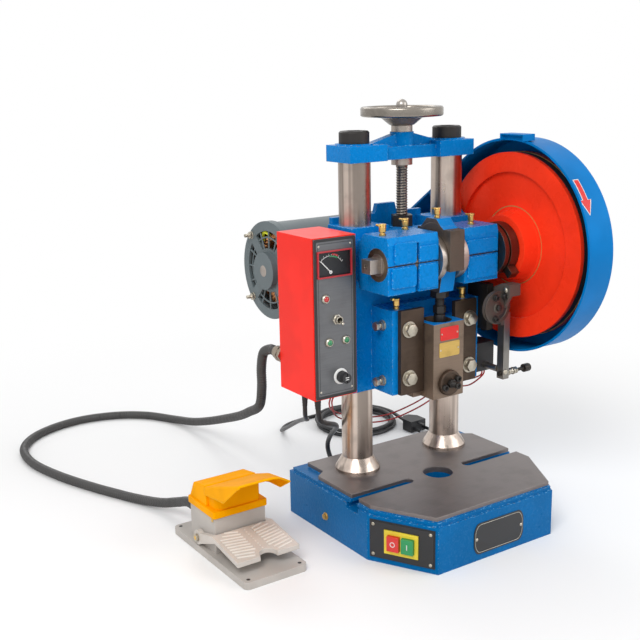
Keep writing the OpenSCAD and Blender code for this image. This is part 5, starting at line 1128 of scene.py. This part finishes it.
def plaque(inset):
    """The base plate's outline: straight top and foot, and ends bowed out in three edges."""
    half, wide = 24 - inset, 48.5 - inset
    ends = [(half, -wide + 6), (half * 0.55, -wide), (-half * 0.55, -wide), (-half, -wide + 6)]
    both = ends + [(z, -x) for z, x in ends[::-1]]
    return rounded([(PLAQUE_Z + z, PLAQUE_X + x) for z, x in both], 5, 4)[::-1]


def base_parts():
    """The bare base plate with its line and two screws, and the brass earth screw."""
    piece("base_plate_bare", slab(plaque(0), BASE_FACE - 0.1, BASE_FACE + 1.1, "y"), black_plate, "base",
          bevel=0.3)
    piece("base_plate_line", ring_between(plaque(2.2), plaque(2.8), BASE_FACE - 0.25, BASE_FACE), zinc,
          "base")
    piece("base_plate_screws", [dome((PLAQUE_X + x, BASE_FACE, PLAQUE_Z), 2.4, 1.1, "y", -1)
                                for x in (-43.5, 43.5)], zinc, "base", crease=40)
    earth = (-164, 69, 29)
    piece("earth_screw", [pin(6, 0, -1, earth, "x"), hex_head(8, 3.6, shifted(earth, "x", -1), "x", True)],
          brass, "base", crease=40)


def arrow_shape(grow, r):
    """The arrow that shows the way of turning: half widths along its length, wrapped on the guard's
    rim, where the angle grows by length over radius. grow widens it for the border."""
    shaft_half, head_half = 4.4 + grow, 10.2 + grow * 1.5
    shaft_end = 33 - grow * 0.4
    at = np.concatenate([np.linspace(-grow, shaft_end, 12), np.linspace(shaft_end, 54 + grow * 1.9, 14)])
    half = np.concatenate([np.full(12, shaft_half), np.linspace(head_half, 0.02, 14)])
    a = np.radians(138) + at / GUARD_R
    rows = []
    for side, out in ((-1, r), (1, r), (1, r + 0.25), (-1, r + 0.25)):
        rows.append(np.stack([GUARD_X + side * half, out * np.cos(a), SHAFT_Z + out * np.sin(a)], -1))
    grid = np.stack(rows, 1)
    caps = [np.repeat(grid[i].mean(0)[None, None], 4, 1) for i in (0, -1)]
    return sheet_of(np.concatenate([caps[0], grid, caps[1]]), False, True)


def arrow():
    """The red arrow on its white border."""
    piece("arrow_border", arrow_shape(1.3, 162.95), white_mark, "head")
    piece("arrow_red", arrow_shape(0, 163.12), plate_red, "head")


def switch_parts():
    """Plate screws and the marks on the buttons, made square to X and turned onto the chamfer."""
    chamfer_x, chamfer_y = 52.6, -96
    middle = (-137.7, -85, 0)
    turn = Matrix.Rotation(math.atan2(chamfer_y, chamfer_x), 3, "Z")

    def place(shapes):
        """Shapes turned onto the chamfer and moved to the plate's middle."""
        return [moved(s, middle, turn) for s in shapes]
    screws = [dome((x, -3, z), 2.6, 1.3, "y", -1) for x in (-44, 44) for z in (14, 60)]
    piece("switch_screws", place(screws), zinc_worn, "base", crease=40)
    low, high = -10.25, -9.9
    piece("start_mark", place([slab(oblong(33, 10.4, 41, 11.6, 0.3), low, high, "y")]), white_mark,
          "start_button")
    circle = np.stack([2.6 * np.cos(full_turn(28)), 2.6 * np.sin(full_turn(28))], -1)
    outer, inner = (circle * k + (37, -11) for k in (1.5, 1.1))
    piece("stop_mark", place([ring_between(outer, inner, low, high)]), white_mark, "stop_button")


def treadle_top(y):
    """Height of the treadle: it climbs by 11 over its length of 76."""
    return 32 + (y - 8) / 76 * 11


def pedal_parts():
    """Raised bars and dots on the sloped treadle, and the pedal's two brass screws."""
    shapes = []
    for i in range(10):
        y = 14 + i * 6.9
        for s in (-1, 1):
            x0 = PEDAL_X + s * (11 if i > 1 else 19 - i * 3)
            x1 = PEDAL_X + s * (45 - max(0, i - 7) * 7)
            ends = np.array([(x0, y), (x0 + (x1 - x0) * 0.5, y + 3), (x1, y + 6)])
            ends[:, 1] = np.minimum(ends[:, 1], 82)
            path = np.concatenate([ends, treadle_top(ends[:, 1:2]) + 0.25], 1)
            shapes.append(tube(path, 1.35, 8))
    for i in range(9):
        y = 26 + i * 6.4
        shapes.append(dome((PEDAL_X, y, treadle_top(y) - 0.1), 1.3, 0.9, "z", 1, 12))
    piece("treadle_tread", shapes, tread_bright, "treadle", crease=60)
    piece("pedal_hinge_screw", [hex_head(7, 3, (-342, 96, 62), "x", True),
                                dome((-356.4, 130, 24), 3.4, 1.0, "x", -1)], brass, "base", crease=40)


def hood_shell():
    """The hood's lip, its round front and its sloped back."""
    left, right = PEDAL_X - 45, PEDAL_X + 45
    piece("hood_lip", slab(oblong(left, 85.2, right, 168, 4), 66.1, 77), hood_yellow, "base",
          bevel=1.2, replaces=("pedal_hood",))
    core = oblong(PEDAL_X - 38, 89, PEDAL_X + 38, 140, 13, 8)
    piece("hood_front", slab(core, 76, 107), hood_yellow, "base", bevel=0.8)
    rear = rounded([(113, 76), (165, 76), (164, 79), (151, 103), (113, 109.2)], 2.5, 4)
    piece("hood_back", slab(rear, PEDAL_X - 42, PEDAL_X + 42, "x"), hood_yellow, "base", bevel=2.2,
          segments=3)


def hood_visor():
    """The folded visor. Its height climbs by slope times the way forward from the hood's top. Past
    fold_at on each side the sheet bends down into a flap, which is 8 deep at the root, deeper
    towards the front, and cut back along its lower edge. The front edge droops, and more so
    towards the right."""
    root_y, top_z, slope, half = 112.5, 108, 0.357, 41
    fold_at, fold_share = 0.72, 0.3
    s = np.linspace(0, 1, 25)[:, None]
    t = np.linspace(-1, 1, 81)[None]
    out = np.clip((np.abs(t) - fold_at) / 0.28, 0, 1)
    bend = np.clip(out / fold_share, 0, 1)
    flap = np.clip((out - fold_share) / 0.7, 0, 1)
    left = t < 0
    cut_back = np.where(left, 0, 10 * np.clip((t - 0.3) / 0.42, 0, 1))
    front = 8 + cut_back + flap * np.where(left, 46, 26)
    y = root_y + (front - root_y) * s
    low = 8 + s * np.where(left, 14, 5)
    x = np.sign(t) * (np.minimum(np.abs(t) / fold_at, 1) * half + 4.2 * np.sin(bend * np.pi / 2))
    z = top_z + slope * (root_y - y) - 3.6 * (1 - np.cos(bend * np.pi / 2)) - flap * low
    lip_droop = np.clip((y - 6) * -0.2 + 1.6, 0, 3)
    side_droop = 13 * np.clip((t - 0.1) / 0.62, 0, 1) ** 2 * np.clip((75 - y) / 60, 0, 1)
    grid = np.stack([PEDAL_X + x + 0 * s, y, z - lip_droop - side_droop], -1)
    visor = piece("hood_visor", sheet_of(grid), hood_yellow, "base", crease=60)
    thick = visor.modifiers.new("thickness", "SOLIDIFY")
    thick.thickness, thick.offset = 2.4 * MM, -1


def pedal_hole_shade():
    """Four dark discs, painted shade that stands for the holes that would hold the pedal down."""
    holes = [pin(2.8, 11, 11.12, (PEDAL_X + x, y, 0)) for x in (-42, 42) for y in (-5, 204)]
    piece("pedal_hole_shade", holes, rubber_black, "base", crease=40)


def gland_parts():
    """The conduit's gland: two hexagons with a neck between them and a rounded nose."""
    x, z, bore = GLAND_X, GLAND_Z, 5.2
    nose = rounded([(bore, 139), (10.3, 139), (10.0, 143), (8.8, 146), (bore, 146)], 0.8, 3)
    piece("gland_nuts", [hex_head(22, 6, (x, 122, z), "y", False, bore),
                         washer(bore, 9.4, 127.6, 131, (x, 0, z), steps=36),
                         washer(bore, 6.2, 114.6, 122.2, (x, 0, z), steps=36),
                         hex_head(21.4, 8.4, (x, 130.6, z), "y", False, bore),
                         turned(nose, (x, 0, z), "y", 40, True)],
          gland_nickel, "head", replaces=("conduit_gland",), crease=35)


def reliefs():
    """Tapered sleeves that follow the cords out of the box's floor."""
    count = 11
    for name, route, r0, r1 in (("mains_relief", mains_route, 5.4, 3.9),
                                ("switch_relief", cable_route, 5.9, 4.4)):
        ribs = np.linspace(r0, r1, count) - 0.35 * (np.arange(count) % 2)
        piece(name, tube(evenly(route, 2.5)[:count], ribs, 16), rubber_black, "head", crease=50)


for make in (lay_conduit, lay_mains_lead, lay_switch_cable, lay_solenoid_wires, lift_parts, oilers,
             gib_clamp_bolts, head_lock_screws, bearing_pads, rod_parts, ram_plates, shank_clamp,
             trip_face, adjuster, panel_parts, fuse_holder, meter, motor_guard, motor_inside,
             base_parts, arrow, switch_parts, pedal_parts, hood_shell, hood_visor,
             pedal_hole_shade, gland_parts, reliefs):
    make()


# Floor, backdrop and light
def white_floor():
    """A wide floor that keeps the object's shadow near it and goes over to plain white further out,
    for the camera only."""
    half = 9.0
    mesh = bpy.data.meshes.new("floor")
    corners = [(-half, -half, 0), (half, -half, 0), (half, half, 0), (-half, half, 0)]
    mesh.from_pydata(corners, [], [(0, 1, 2, 3)])
    ground = bpy.data.objects.new("floor", mesh)
    bpy.context.scene.collection.objects.link(ground)
    middle_x, middle_y, near, far = -100, 250, 560, 1250
    f = Finish("floor_white")
    away = distance(f.x - middle_x, f.y - middle_y)
    white = f.node("Emission", {}, (1, 1, 1), 1.0)
    f.cover(Base_Color=(0.9, 0.9, 0.9), Roughness=0.9)
    f.mixed(f.node("LightPath", {}, output="Is Camera Ray") * away.ease(near, far), white)
    mesh.materials.append(f.material)


def studio_light():
    """A white world that is softer where it lights the object than where it is seen or reflected,
    and three square lamps."""
    world = bpy.data.worlds.new("studio")
    bpy.context.scene.world = world
    world.use_nodes = True
    world.node_tree.nodes.remove(world.node_tree.nodes["Background"])
    sky = Nodes(world.node_tree, "World Output")
    seen, mirrored, sent = sky.node("LightPath", {}, output=("Is Camera Ray", "Is Glossy Ray",
                                                             "Is Transmission Ray"))
    soft, plain = (sky.node("Background", {}, (1, 1, 1), strength) for strength in (0.62, 1.0))
    sky.show(sky.node("MixShader", {}, seen.most(mirrored).most(sent), soft, plain))
    aim = Vector((-0.05, 0.05, 0.3))
    for name, place, size, power in (("key", (-1.7, -1.2, 2.2), 1.3, 42),
                                     ("fill", (1.6, -1.9, 1.5), 1.6, 21),
                                     ("back", (0.3, 2.2, 2.4), 1.8, 21)):
        data = bpy.data.lights.new(name, "AREA")
        data.size, data.energy = size, power
        lamp = bpy.data.objects.new(name, data)
        lamp.location = place
        lamp.rotation_euler = (aim - Vector(place)).to_track_quat("-Z", "Y").to_euler()
        bpy.context.scene.collection.objects.link(lamp)
    bpy.context.scene.view_settings.view_transform = "Standard"


white_floor()
studio_light()
